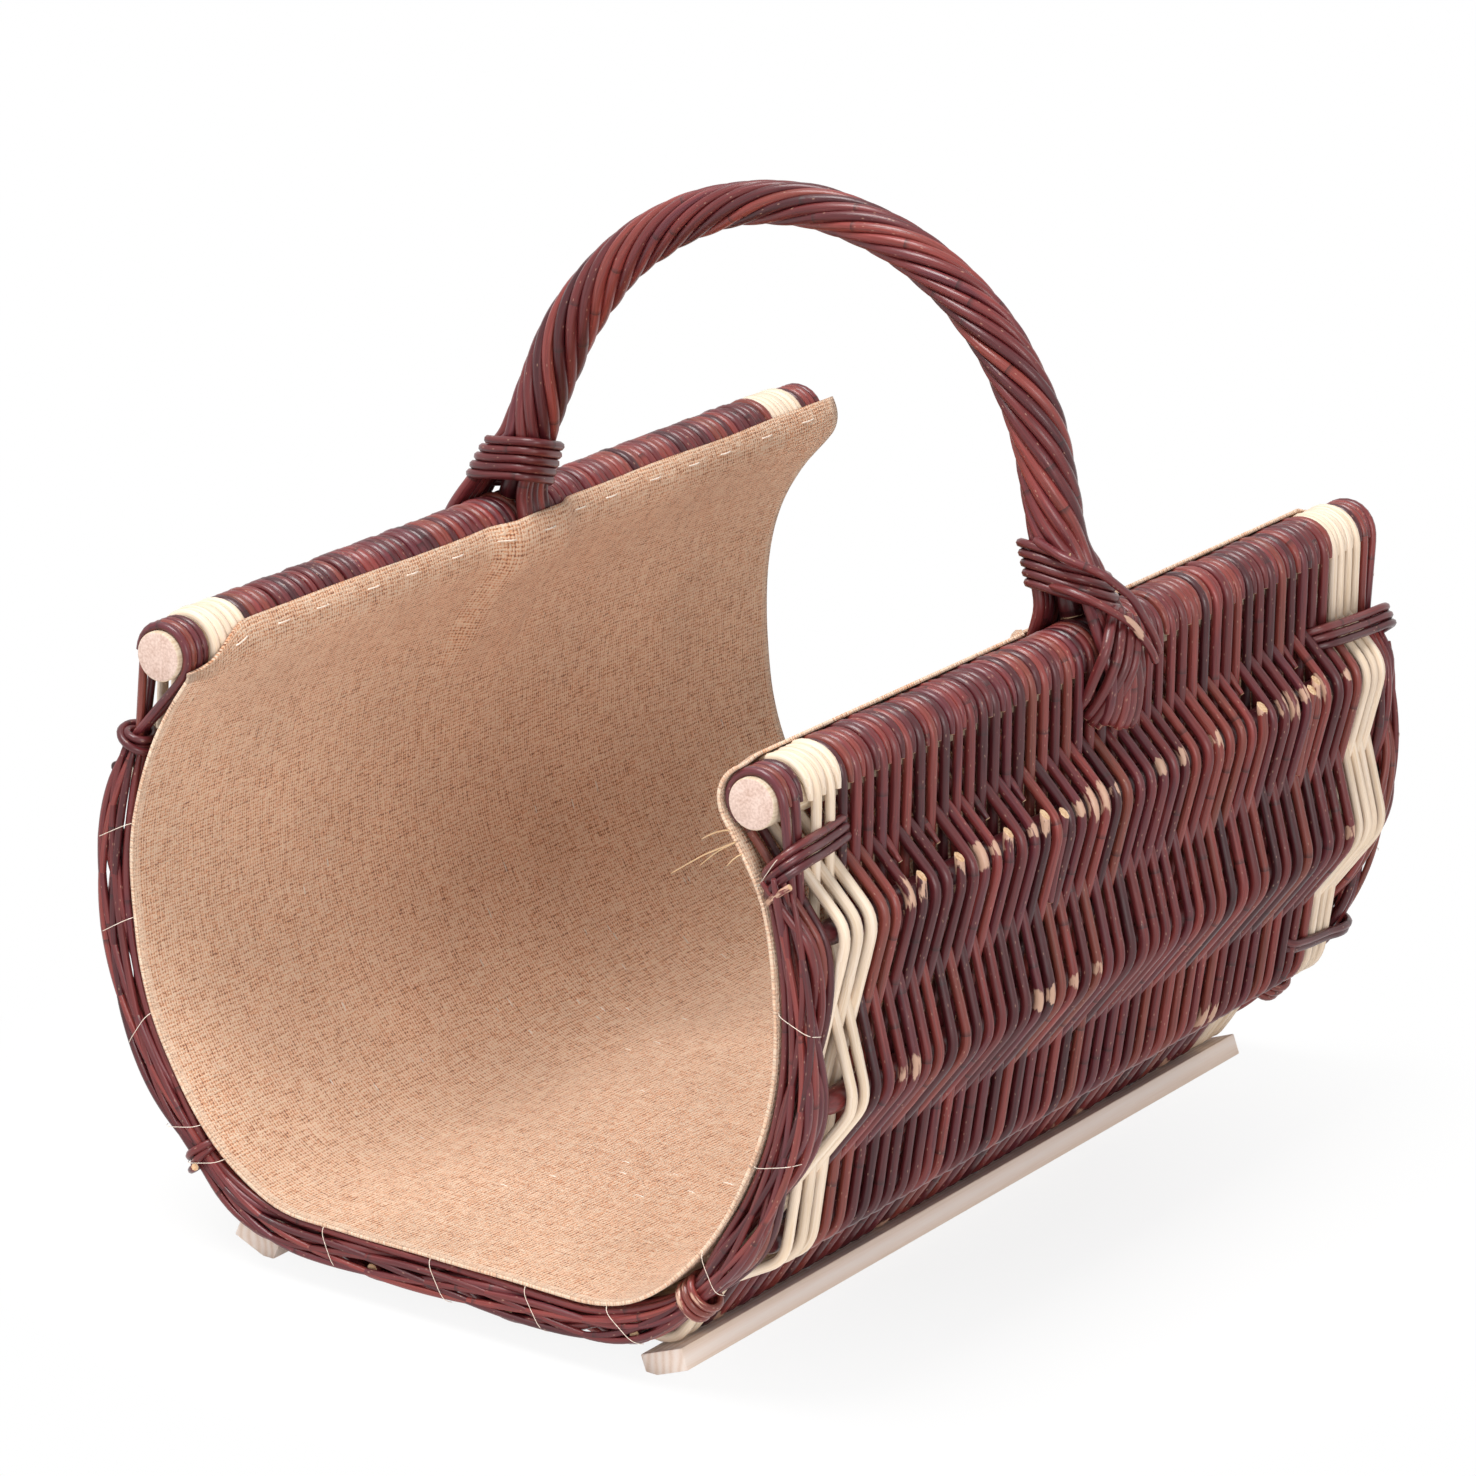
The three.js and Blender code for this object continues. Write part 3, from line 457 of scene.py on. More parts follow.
def jute_cloth(name, pitch, shades, hem_colour):
    """Plain-woven natural jute, scoured and lightly pressed.

    The eye gets coarse hairy threads with brown holes between them, thick and thin places along
    each thread, and a few threads lighter or darker than the rest. The brown of the holes and the
    tan of the threads' flanks are painted shade, and the pale tops of the threads a painted highlight.
    """
    material, tree = new_material(name)
    surface = add(tree, "UVMap", uv_map="surface")
    # Threads wander by a third of their pitch over some 25 mm
    wander = patches(tree, surface, 40.0, 2.0, out="Color")
    wander = vector(tree, "SUBTRACT", {0: wander, 1: (0.5, 0.5, 0.5)})
    wander = vector(tree, "SCALE", {0: wander, "Scale": pitch * 1.3})
    threads = vector(tree, "ADD", {0: surface, 1: wander})
    threads = vector(tree, "SCALE", {0: threads, "Scale": 1 / pitch})
    waves = []
    for axis in (0, 1):
        along = add(tree, "SeparateXYZ", {0: threads}, axis)
        waves.append(calculate(tree, "SINE", calculate(tree, "MULTIPLY", along, math.pi)))
    over = calculate(tree, "MULTIPLY", *waves)
    heights = []
    for wave, lift in zip(waves, (0.45, -0.45)):
        raised = calculate(tree, "MULTIPLY_ADD", over, lift, 0.75)
        heights.append(calculate(tree, "MULTIPLY", calculate(tree, "ABSOLUTE", wave), raised))
    height = calculate(tree, "MAXIMUM", *heights)

    # Thick and thin places along the threads of each way, some 11 mm long, and hairs
    ways = ((1.0, 0.16, 1), (0.16, 1.0, 1))
    slub = calculate(tree, "ADD", *[patches(tree, threads, 0.9, 3.0, stretch=way) for way in ways])
    slub = remap(tree, slub, 0.6, 1.4, -0.46, 0.46)
    hairs = remap(tree, patches(tree, threads, 1.2, 4.0, 0.75), 0.25, 0.75, -0.66, 0.66)
    # The weave's height gives painted shade in the holes and on the flanks and a painted highlight on
    # the tops; the slubs and hairs add the cloth's own tone
    shade = calculate(tree, "ADD", calculate(tree, "ADD", height, slub), hairs)
    colour = add(tree, "ValToRGB", {"Fac": shade}, stops=shades)

    # The turned hem at the ends, some 5 mm wide, is paler, and the cloth is uneven in tone
    from_middle = calculate(tree, "ABSOLUTE", add(tree, "SeparateXYZ", {0: surface}))
    hem = remap(tree, from_middle, 0.2432, 0.2438, 0.0, 0.4)
    colour = painted(tree, hem, colour, hem_colour)
    broad = remap(tree, patches(tree, surface, 16.0, 2.0), 0.3, 0.7, 0.95, 1.05)
    colour = painted(tree, 1.0, colour, broad, "MULTIPLY")
    dull = remap(tree, shade, 0.0, 1.0, 0.95, 0.82)
    sheen = {"Sheen_Weight": 0.5, "Sheen_Roughness": 0.5, "Sheen_Tint": linear("#FAE6D6")}
    return finished(material, colour, dull, shade, 0.0006, IOR=1.5, **sheen)


def planed_pine(name, shades):
    """Planed pine slat: cream early wood, thin tan late wood lines, and a saw-dulled face."""
    material, tree = new_material(name)
    spot = add(tree, "TexCoord", out="Object")
    # Growth lines some 2 mm apart across the slat that wander slowly along it
    run = add(tree, "Mapping", {"Vector": spot, "Scale": (480, 9, 480)})
    wave = {"Vector": run, "Scale": 0.16, "Distortion": 3.2, "Detail": 2.0}
    lines = add(tree, "TexWave", wave, "Color")
    fibres = patches(tree, spot, 1.0, 3.0, stretch=(1600, 35, 1600))
    mixed = calculate(tree, "MULTIPLY", fibres, 0.45)
    mixed = calculate(tree, "MULTIPLY_ADD", lines, 0.5, mixed)
    colour = add(tree, "ValToRGB", {"Fac": mixed}, stops=shades)
    dull = remap(tree, fibres, 0.0, 1.0, 0.58, 0.78)
    return finished(material, colour, dull, mixed, 0.00015, IOR=1.5)


def speckled(name, scale, detail, dark, pale, roughness, depth, **constants):
    """A plain stuff whose colour and dullness follow the same fine specks."""
    material, tree = new_material(name)
    fine = patches(tree, add(tree, "TexCoord", out="Object"), scale, detail)
    colour = add(tree, "ValToRGB", {"Fac": fine}, stops=[(0.3, dark), (0.7, pale)])
    dull = remap(tree, fine, 0.0, 1.0, *roughness)
    return finished(material, colour, dull, fine, depth, **constants)


# Brown bark in its stains, from nearly black to a warm red brown
BARK_SHADES = [(0.0, "#3C1218"), (0.22, "#521C20"), (0.45, "#6C2928"), (0.62, "#59222A"),
               (0.78, "#7F3430"), (1.0, "#74382D")]
bark = stained_willow("stained_willow_bark", BARK_SHADES, "#D0A88F", "#2E1A1A")
# Willow peeled of its bark, and cut or sawn ends
cream = bare_wood("peeled_cream_willow", "#EEDCC9", "#DCC2A2", 0.9, 0.5)
cut_wood = end_grain("cut_willow_end", "#E0C09A", "#B98C64")
dowel_end = end_grain("sawn_dowel_end", "#DFC6BA", "#BF9F90")
# Turned beech dowel
dowel = bare_wood("peeled_beech_dowel", "#E2D0B8", "#C8AD8C", 1.2, 0.6)
# Pine slat from the saw and the plane
PINE_SHADES = [(0.12, "#EBD2BE"), (0.4, "#F8E4D6"), (0.8, "#FEF0E6")]
pine = planed_pine("planed_pine", PINE_SHADES)
# Jute by the weave's height: painted shade in brown in the holes and tan at the threads' flanks, and a
# painted highlight in straw on top
JUTE_TONES_AND_PAINTED_SHADE = [(0.0, "#7A3810"), (0.27, "#D38B5C"), (0.56, "#EAAD82"), (0.95, "#F8D9BC")]
jute = jute_cloth("woven_jute_cloth", 0.00165, JUTE_TONES_AND_PAINTED_SHADE, "#F8DDC4")
# One loose yarn of the same jute
yarn = bare_wood("jute_yarn", "#D8B891", "#B08A62", 0.4, 0.9)
# Clear nylon sewing thread: milky, smooth and shiny
nylon = speckled(
    "clear_nylon_thread", 500.0, 1.0, "#E0CDBA", "#F6E8DA", (0.2, 0.35), 0.00002, IOR=1.53
)
# Bright drawn wire nail: clean grey metal with dull specks
steel = speckled(
    "drawn_steel_wire", 1400.0, 2.0, "#86868A", "#B4B4B6", (0.28, 0.5), 0.00004, Metallic=1.0
)

# Weave: each weaver runs outside one stake and inside the next, the opposite way to its neighbours

KINK_HALF = 0.0035
KINK_SWAY = 0.0008
TUCK_INSIDE = 208
TUCK_OUTSIDE = -38
RAIL_STEPS = 18
NEW_ROD_SHARE = 0.16
BUTT_SHARE = 0.14
BARE_BEND_SHARE, BARE_TOP_BEND_SHARE = 0.10, 0.34
STRAIGHT_STEP = 0.003
# How far below the rail the tip of an old rod starts, and the cut butt of a new one ends
OLD_TIP_DROP, NEW_BUTT_DROP = 0.047, 0.0535


def touch_degrees(point, radius, over_top):
    """Where a straight rod from a point of the right wall meets a circle round the rail."""
    away = Vector((abs(point.x) - RAIL_X, point.z - RAIL_Z))
    heading = math.degrees(math.atan2(away.y, away.x) - RAIL_LEAN + math.pi / 2)
    opening = math.degrees(math.acos(min(radius / away.length, 1)))
    return heading + opening if over_top else heading - opening + 360


def over_rail(side, leaving, from_inside, radius, y, slant=0.0, stops=(TUCK_INSIDE, TUCK_OUTSIDE)):
    """Round the rail from where a rod from below meets it to where the rod is tucked in."""
    start = touch_degrees(leaving, radius, from_inside)
    stop = stops[0] if from_inside else stops[1]
    return [
        rail_point(side, radius, blend(start, stop, k / RAIL_STEPS), y + slant * k / RAIL_STEPS)
        for k in range(RAIL_STEPS + 1)
    ]


TIP_SHARES = [0.55 + 0.12 * k for k in range(4)]
# No bark is left at a spot, and more of it towards the spot's reach
SPOT_PEEL, SPOT_FALL = 1.06, 0.4


def flayed(line, spots):
    """How far the bark has come off along a line: a little all over, and most at the spots."""
    amounts = [chance.random() ** 2 * PEEL_SPREAD] * len(line)
    for spot, reach in spots:
        for k, point in enumerate(line):
            away = (point - spot).length / reach
            amounts[k] = max(amounts[k], SPOT_PEEL - SPOT_FALL * away**2)
    return amounts


def slimmed(made, ends=(0, -1)):
    """The rod with slim tips at the given ends."""
    for end in ends:
        for k, share in enumerate(TIP_SHARES):
            made["radii"][end - k if end else k] *= share
    return made


def outwards_at(station):
    return (wall_point(station, 1.0) - wall_point(station, 0.0)).normalized()


def weaver(parity, y, radius, peeled=False):
    """One weaver across the basket; parity 1 starts outside the first stake.

    Where a new rod takes over at a top stake, its cut butt stands out there, and the tip of the
    old one goes on alone over the rail.
    """
    ways = [parity * (-1) ** k for k in range(len(STATIONS))]
    body, spots, rods = [], [], []
    for station, way in zip(STATIONS, ways):
        here = y + chance.uniform(-KINK_SWAY, KINK_SWAY)
        for step in (-KINK_HALF, KINK_HALF):
            body.append(wall_point(station + step, way * WEAVE_REACH, here))
        at_top = station in (STATIONS[0], STATIONS[-1])
        often = BARE_TOP_BEND_SHARE if at_top else BARE_BEND_SHARE
        if way > 0 and chance.random() < often:
            spots.append((body[-1], chance.uniform(0.004, 0.011)))
    facing = [None, None]
    tips = []
    for number, side in ((0, -1), (-1, 1)):
        way, leaving = ways[number], body[number]
        reach = WRAP_REACH + chance.uniform(-0.0001, 0.0005)
        run = over_rail(side, leaving, way < 0, reach, y, chance.uniform(-0.0012, 0.0012))
        if not peeled and way > 0 and chance.random() < NEW_ROD_SHARE:
            stump = wall_point(side * (RAIL_STATION - OLD_TIP_DROP), 0.001, y)
            old = rod(bent([stump] + run, STRAIGHT_STEP, 2), radius * 0.85, radius * 0.75)
            rods.append(slimmed(old))
            station = side * (RAIL_STATION - NEW_BUTT_DROP)
            run = [wall_point(station, WEAVE_REACH + 0.0012, y)]
            facing[number] = outwards_at(station)
            spots.append((run[0], chance.uniform(0.004, 0.014)))
        else:
            tips.append(number)
        body = run[::-1] + body if side < 0 else body + run
    path = bent(body, STRAIGHT_STEP, 2)
    tapers = [chance.uniform(0.90, 1.0), chance.uniform(1.0, 1.10)]
    chance.shuffle(tapers)
    start, end = (radius * taper for taper in tapers)
    whole = rod(path, start, end, peel=flayed(path, spots), facing=facing)
    return [*rods, slimmed(whole, tips)]


# Steps of a butt, up the wall from the top stake and out of the wall
BUTT_STEPS = [(-0.034, -0.002), (-0.018, 0.002), (-0.006, 0.0066), (0.0045, 0.0098)]


def butt(side, y):
    """The cut butt of a rod that comes out between two others at the top stake."""
    station = side * RIGHT_STATIONS[-1]
    line = [wall_point(station + side * up, out, y) for up, out in BUTT_STEPS]
    facing = (None, outwards_at(station))
    return rod(bent(line, STRAIGHT_STEP, 2), 0.0021, 0.0024, facing=facing, knob=0.0)


BROWN_BANDS = 12
WEAVERS_PER_BAND = BROWN_WEAVERS // BROWN_BANDS
BROWN_PITCH = 2 * CREAM_INNER_EDGE / BROWN_WEAVERS
for band in range(BROWN_BANDS):
    rods = []
    for k in range(band * WEAVERS_PER_BAND, (band + 1) * WEAVERS_PER_BAND):
        y = -CREAM_INNER_EDGE + (k + 0.5) * BROWN_PITCH + chance.uniform(-0.0002, 0.0002)
        parity = 1 if k % 2 == 0 else -1
        rods += weaver(parity, y, WEAVER_RADIUS * chance.uniform(0.94, 1.06))
        # Only at one side does this weaver go inside the top stake
        if chance.random() < BUTT_SHARE:
            rods.append(butt(parity, y))
    node = f"brown_weave_{band + 1:02d}"
    rods_piece(f"brown_willow_band_{band + 1:02d}", rods, bark, cut_wood, "brown_willow", node)

# The back band has more and finer rods than the front one
for end, name, count, radius in ((-1, "front", 5, 0.00245), (1, "back", 7, 0.00212)):
    cream_pitch = (WEAVE_HALF_LENGTH - CREAM_INNER_EDGE) / count
    weavers = []
    for k in range(count):
        y = end * (CREAM_INNER_EDGE + (k + 0.5) * cream_pitch)
        parity = 1 if (k + (1 if end < 0 else 0)) % 2 == 0 else -1
        weavers += weaver(parity, y, radius * chance.uniform(0.98, 1.04), peeled=True)
    for number, group in ((1, weavers[: count // 2]), (2, weavers[count // 2 :])):
        node = f"cream_weave_{name}_{number}"
        rods_piece(f"cream_willow_band_{name}_{number}", group, cream, cut_wood, "cream_willow", node)

# Stakes: ten stout straight rods, whittled thin where the rims close round their ends
SWAY = 0.0007
STAKE_TIP = 0.0026
STAKE_HALF_LENGTH = 0.2464
TAPER_START, TAPER_LENGTH = 0.2255, 0.012
PALE_TIPS_BELOW = 0.18


def stake_places():
    """Places along a stake: close together at its ends, wider apart between."""
    tip = [STAKE_HALF_LENGTH - k * 0.003 for k in range(8)]
    middle = [tip[-1] * (1 - k / 19) for k in range(1, 38)]
    return [-y for y in tip] + [-y for y in middle] + tip[::-1]


for k, station in enumerate(STATIONS):
    path, radii = [], []
    for y in stake_places():
        sway = noise.noise_vector(Vector((y * 9.0, k * 3.7, 0.5))) * SWAY
        spot = wall_point(station, 0, y)
        path.append(Vector((spot.x + sway.x, y, spot.z + sway.z)))
        whittled = smooth((abs(y) - TAPER_START) / TAPER_LENGTH)
        radii.append(blend(STAKE_RADIUS, STAKE_TIP, whittled))
    stake = rod(path, STAKE_RADIUS, tint=chance.uniform(0, 0.5))
    stake["radii"] = radii
    tip = cut_wood if abs(station) < PALE_TIPS_BELOW else bark
    node = f"stake_{k + 1:02d}"
    rods_piece("willow_" + node, [stake], bark, tip, "brown_willow", node, sides=14)


# Rails: two peeled dowels, turned as one primitive and bevelled at both ends

def deselect():
    for other in list(bpy.context.selected_objects):
        other.select_set(False)


def pick(piece):
    deselect()
    piece.select_set(True)
    bpy.context.view_layer.objects.active = piece


def settle(piece):
    """Puts the piece's place into its mesh, so that its object sits at the origin."""
    piece.data.transform(piece.matrix_world)
    piece.matrix_world = Matrix.Identity(4)
    piece.data.update()


def bevel_sharp(piece, width, segments, limit=40):
    pick(piece)
    bevel = piece.modifiers.new("worn_edges", "BEVEL")
    bevel.width = width
    bevel.segments = segments
    bevel.limit_method = "ANGLE"
    bevel.angle_limit = math.radians(limit)
    bpy.ops.object.modifier_apply(modifier=bevel.name)


def unwrap_round(piece, centre_x, centre_z):
    """A UV map in metres round and along a piece that lies along Y."""
    mesh = piece.data
    layer = mesh.uv_layers.new(name="surface")
    for loop in mesh.loops:
        point = mesh.vertices[loop.vertex_index].co
        angle = math.atan2(point.z - centre_z, point.x - centre_x)
        layer.data[loop.index].uv = (angle * RAIL_RADIUS, point.y)


for side, name in SIDES:
    deselect()
    bpy.ops.mesh.primitive_cylinder_add(
        vertices=64,
        radius=RAIL_RADIUS,
        depth=2 * RAIL_HALF_LENGTH,
        location=(side * RAIL_X, 0, RAIL_Z),
        rotation=(math.pi / 2, 0, 0),
    )
    piece = bpy.context.object
    piece.name = f"dowel_rail_{name}"
    settle(piece)
    bevel_sharp(piece, 0.0009, segments=3)
    unwrap_round(piece, side * RAIL_X, RAIL_Z)
    piece.data.materials.append(dowel)
    piece.data.materials.append(dowel_end)
    for polygon in piece.data.polygons:
        polygon.material_index = 1 if abs(polygon.normal.y) > 0.9 else 0
    pick(piece)
    bpy.ops.object.shade_smooth_by_angle(angle=math.radians(50))
    place(piece, "peeled_wood", f"rail_{name}")


# End rims: two strands of four thin rods, twined round the tips of the stakes. At a stake the
# rods of a strand lie side by side along the basket, and at a crossing they bunch up in a square.

RIM_ROD = 0.0020
RIM_Y = 0.2400
RIM_CENTRE = -0.003
RIM_GAP = STAKE_TIP + 0.0009 + RIM_ROD
RIM_SWING = 0.0040
RIM_WRAP = RAIL_RADIUS + 0.0003 + RIM_ROD
RIM_TUCKS = (196, -34)
RIM_FACE = RIM_GAP + RIM_ROD
BUNCH = [(1, -1), (-1, -1), (1, 1), (-1, 1)]
KNOTS = [-RAIL_STATION, *STATIONS, RAIL_STATION]
GAPS = len(KNOTS) - 1
TIE_TURNS = (0.76, 3.5, 7.5)
PINCH, PINCH_TURNS = 0.36, 0.3
LOOSE_ROD, INNER_ROD = (0.0018, 0.0015), (0.0019, 0.0016)
INNER_SWAY = 0.0009
STRAP_TURNS = {-1: 0.48, 1: 0.74}


def rim_station(turn):
    """The station at a turn, which counts the gaps between stakes from the left rail."""
    knot = min(int(turn), GAPS - 1)
    return blend(KNOTS[knot], KNOTS[knot + 1], turn - knot)


def pinched(turn):
    """How much of their spread the rods of a rim keep where a tie draws them together."""
    nearest = min(abs(turn - tie) for tie in TIE_TURNS)
    return 1 - PINCH * math.exp(-((nearest / PINCH_TURNS) ** 2))


def rim_point(turn, strand, number, end):
    half = (turn + strand) * math.pi
    bunched = math.sin(half) ** 2
    out, along = BUNCH[number]
    spread = pinched(turn)
    reach = RIM_CENTRE + spread * (RIM_GAP * math.cos(half) + RIM_ROD * out * bunched)
    y = spread * RIM_SWING * math.sin(half)
    y += blend((number - 1.5) * 2 * RIM_ROD, along * RIM_ROD, bunched) * spread
    y += RIM_Y
    loose = noise.noise_vector(Vector((turn * 1.7, number * 4.1 + strand * 2.3, end))) * SWAY
    return wall_point(rim_station(turn), reach + loose.x, end * (y + loose.y))


def rim_rod(strand, number, end):
    """A thin rod of a rim strand; two rods of each strand go over the rails, side by side."""
    steps = 14
    places = range(steps if number < 2 else round(1.4 * steps), (GAPS - 1) * steps + 1)
    line = [rim_point(k / steps, strand, number, end) for k in places]
    if number < 2:
        reach = RIM_CENTRE + (2 * strand - 1) * 0.9 * RIM_ROD
        y = RIM_Y + (2 * number - 1) * 0.9 * RIM_ROD
        line.insert(0, wall_point(rim_station(TIE_TURNS[0]), reach, end * y))
    slot = end * (RIM_Y + (2 * number + strand - 1.5) * 2 * RIM_ROD)
    sides = ((-1, line[0], strand == 0), (1, line[-1], (GAPS + strand) % 2 == 0))
    for side, last, from_inside in sides:
        run = over_rail(side, last, from_inside, RIM_WRAP, slot, stops=RIM_TUCKS)
        if number > 1:
            run = [last.lerp(run[0], 1 - STRAP_TURNS[end])] if side > 0 else []
        line = run[::-1] + line if side < 0 else line + run
    tip = RIM_ROD * chance.uniform(0.94, 1.06)
    return slimmed(rod(bent(line, 0.0035, 2), RIM_ROD * 0.95, tip))


def between_ties(end):
    """Turns from the left upper tie of a rim to its right upper strap."""
    steps = 90
    return [blend(0.82, GAPS - STRAP_TURNS[end] - 0.16, k / steps) for k in range(steps + 1)]


def loose_rim_rod(number, end):
    """A rod that wanders over the face of the rim, in front of the tips of the stakes."""
    line = []
    for turn in between_ties(end):
        spread = pinched(turn)
        reach = RIM_CENTRE + spread * 0.0046 * math.sin(turn * 1.9 + number * 1.7 + end)
        line.append(wall_point(rim_station(turn), reach, end * (RIM_Y + spread * 0.0079)))
    return slimmed(rod(bent(line, 0.004, 2), *LOOSE_ROD))


def inner_rim_rod(number, end):
    """A rod along the inner side of the rim, where the edge of the lining meets it."""
    line = []
    for turn in between_ties(end):
        spread = pinched(turn) ** 1.5
        sway = noise.noise_vector(Vector((turn * 1.3, number * 5.1, end))) * INNER_SWAY
        reach = RIM_CENTRE - spread * (RIM_FACE + 0.0008) + sway.x
        y = RIM_Y + spread * (0.0060 - number * 0.0039) + sway.y
        line.append(wall_point(rim_station(turn), reach, end * y))
    return slimmed(rod(bent(line, 0.004, 2), *INNER_ROD))


for end, name in ENDS:
    for strand in (0, 1):
        rods = [rim_rod(strand, number, end) for number in range(4)]
        rods += [loose_rim_rod(2 * strand + number, end) for number in (0, 1)]
        rods += [inner_rim_rod(2 * strand + number, end) for number in (0, 1)]
        node = f"rim_{name}_{strand + 1}"
        rods_piece(f"rim_strand_{name}_{strand + 1}", rods, bark, bark, "brown_willow", node)

# Ties: a thin rod wound round the rim, or a strap of three round it and on along the weave
TIE_RADIUS = 0.0019


def wound_tie(turn, end, half, turns, crossed, tint, peel=0.2):
    """A winding round the rim; a crossed one comes back over its own turns at last."""
    side = -1 if turn < GAPS / 2 else 1
    pitch = 2 * TIE_RADIUS + 0.0002
    wound = turns - 1 if crossed else turns
    line = []
    steps = 20
    for k in range(int(turns * steps) + 1):
        done = k / steps
        angle = 2 * math.pi * (done + 0.62)
        coming_back = max(done - wound, 0)
        lift = min(done, wound) * pitch * (1 - coming_back) - wound * pitch / 2
        proud = TIE_RADIUS * (1 + 1.3 * smooth(coming_back * 4))
        reach = RIM_CENTRE + (half + proud) * math.cos(angle)
        y = RIM_Y + (half + 0.0004 + proud) * math.sin(angle)
        line.append(wall_point(rim_station(turn) + side * lift, reach, end * y))
    return rod(bent(line, 0.0022, 1), TIE_RADIUS, TIE_RADIUS * 0.9, tint, peel, knob=0.0)


# Steps of a strap from inside the rim, round its face and over the cream band into the weave:
# farther down the wall than its end, out of the wall, and along the basket
STRAP_STEPS = [
    (0.013, -0.0095, 0.2385),
    (0.011, -0.0112, 0.2455),
    (0.007, -0.0085, 0.2502),
    (0.003, 0.0015, 0.2508),
    (0.001, 0.0072, 0.2462),
    (0.000, 0.0086, 0.2380),
    (0.000, 0.0068, 0.2280),
    (-0.001, 0.0062, 0.2150),
    (-0.002, 0.0050, 0.2035),
    (-0.002, -0.0020, 0.1985),
]
# Each further rod of a strap lies higher up the wall and nearer the middle of the basket
STRAP_PITCH, STRAP_INSET = 0.0039, 0.0011
BACK_STRAP_REACH = 0.011
# The peeled peg that holds the front straps, in the same measures
PEG_STEPS = [(0.012, -0.0114, 0.2470), (0.009, -0.0040, 0.2528), (0.0065, 0.0050, 0.2522)]


def strap(drop, end, count):
    """Rods side by side that hold the rim to the cream band; the back ones reach farther in."""
    rods = []
    for number in range(count):
        line = []
        for below, reach, y in STRAP_STEPS:
            station = RAIL_STATION - drop - below + number * STRAP_PITCH
            if end > 0:
                y -= BACK_STRAP_REACH * smooth((0.238 - y) / 0.035)
            line.append(wall_point(station, reach, end * (y - number * STRAP_INSET)))
        rods.append(rod(bent(line, 0.0025, 2), TIE_RADIUS, tint=0.15 + 0.1 * number, peel=0.2))
    if end > 0:
        return rods
    line = [wall_point(RAIL_STATION - drop - below, out, end * y) for below, out, y in PEG_STEPS]
    rods.append(rod(bent(line, 0.0025, 1), 0.0014, peel=1.0, knob=0.0))
    return rods


LOWER_STRAP_DROP = 0.196
SMALL_TIE, BIG_TIE = 0.0040, 0.0062
for end, end_name in ENDS:
    ties = {
        "upper_left": [wound_tie(TIE_TURNS[0], end, SMALL_TIE, 3.1, True, 0.2)],
        "lower_left": [wound_tie(TIE_TURNS[1], end, BIG_TIE, 2.6, True, 0.4)],
        "lower_right": [wound_tie(TIE_TURNS[2], end, BIG_TIE, 3.1, False, 0.9, 0.78)],
        "upper_right": strap(STRAP_TURNS[end] * TOP_STAKE_DROP, end, 3),
    }
    if end > 0:
        ties["lower_right"] += strap(LOWER_STRAP_DROP, end, 2)
    for name, rods in ties.items():
        node = f"tie_{end_name}_{name}"
        rods_piece("rim_" + node, rods, bark, cut_wood, "brown_willow", node)

# Clear thread that sews the cloth to the rims: tight slanting stitches over the face of a rim.
# Each has its stations at the cloth and at the outer side of the rim, in millimetres.
THREADS = [(-299, -286), (-252, -244), (-206, -194), (-148, -157), (-128, -139), (-60, -52),
           (-4, 6), (45, 56), (90, 103), (160, 152), (214, 226), (290, 282), (346, 358)]
THREAD_STEPS = [(0.0, -0.0148, 0.2462), (0.06, -0.0132, 0.2494), (0.2, -0.0105, 0.2504),
                (0.8, 0.0000, 0.2504), (0.94, 0.0028, 0.2490), (1.0, 0.0045, 0.2450)]

for end, name in ENDS:
    rods = []
    for inner, outer in THREADS:
        line = [
            wall_point(blend(inner, outer, share) / 1000, out, end * y)
            for share, out, y in THREAD_STEPS
        ]
        rods.append(rod(bent(line, 0.002, 1), 0.00017, knob=0.0))
    rods_piece(f"rim_sewing_thread_{name}", rods, nylon, nylon, "jute", sides=5)


# Bow handle: eleven rods twisted round a stout one, parted round each rail and bound

HANDLE_RADIUS = RAIL_X - 0.0175
HANDLE_LIFT = 0.041
HANDLE_Z = RAIL_Z + HANDLE_LIFT
FOOT_DISTANCE = math.hypot(RAIL_X, HANDLE_LIFT)
LEG_LEAN = math.acos(HANDLE_RADIUS / FOOT_DISTANCE) - math.atan2(HANDLE_LIFT, RAIL_X)
LEG_LENGTH = math.sqrt(FOOT_DISTANCE**2 - HANDLE_RADIUS**2)
COLLAR_TOP = 0.046
COLLAR_FOOT = 0.023
ARC_LENGTH = HANDLE_RADIUS * (math.pi - 2 * LEG_LEAN)
TWIST_LENGTH = ARC_LENGTH + 2 * (LEG_LENGTH - COLLAR_TOP)
HANDLE_RODS = 11
CAD_HANDLE_RODS = 8
HANDLE_TURNS = 3
CROWN_CIRCLE, LEG_CIRCLE = 0.0077, 0.0100
CROWN_ROD, LEG_ROD, TAIL_ROD = 0.0023, 0.0029, 0.0026
THIN_ABOVE = 0.06
CORE_RADIUS = 0.0052
COLLAR_INNER, COLLAR_OUTER, COLLAR_OUTER_FOOT = 0.0095, 0.0095, 0.0145
COLLAR_DEPTH = 0.0085
OUTER_FAN, INNER_FAN = 0.0132, 0.0120
WRAP_FACE = WRAP_REACH + WEAVER_RADIUS
TAIL_LEAN = RAIL_LEAN - math.pi / 2 - LEG_LEAN
RAIL_PASS = (WRAP_FACE + 0.0004 + LEG_ROD) / math.cos(TAIL_LEAN)
RAIL_PASS_OUT = RAIL_PASS * math.cos(TAIL_LEAN)
RAIL_PASS_UP = RAIL_PASS * math.sin(TAIL_LEAN)
INSIDE_PASS = WEAVE_FACE + 0.0004 + LEG_ROD + 0.0008
RIGHT_FOOT_Y = 0.0065
CROWN_X = 0.0035
LEG_BOW = 0.0022


def foot_y(side):
    return RIGHT_FOOT_Y if side > 0 else 0.0


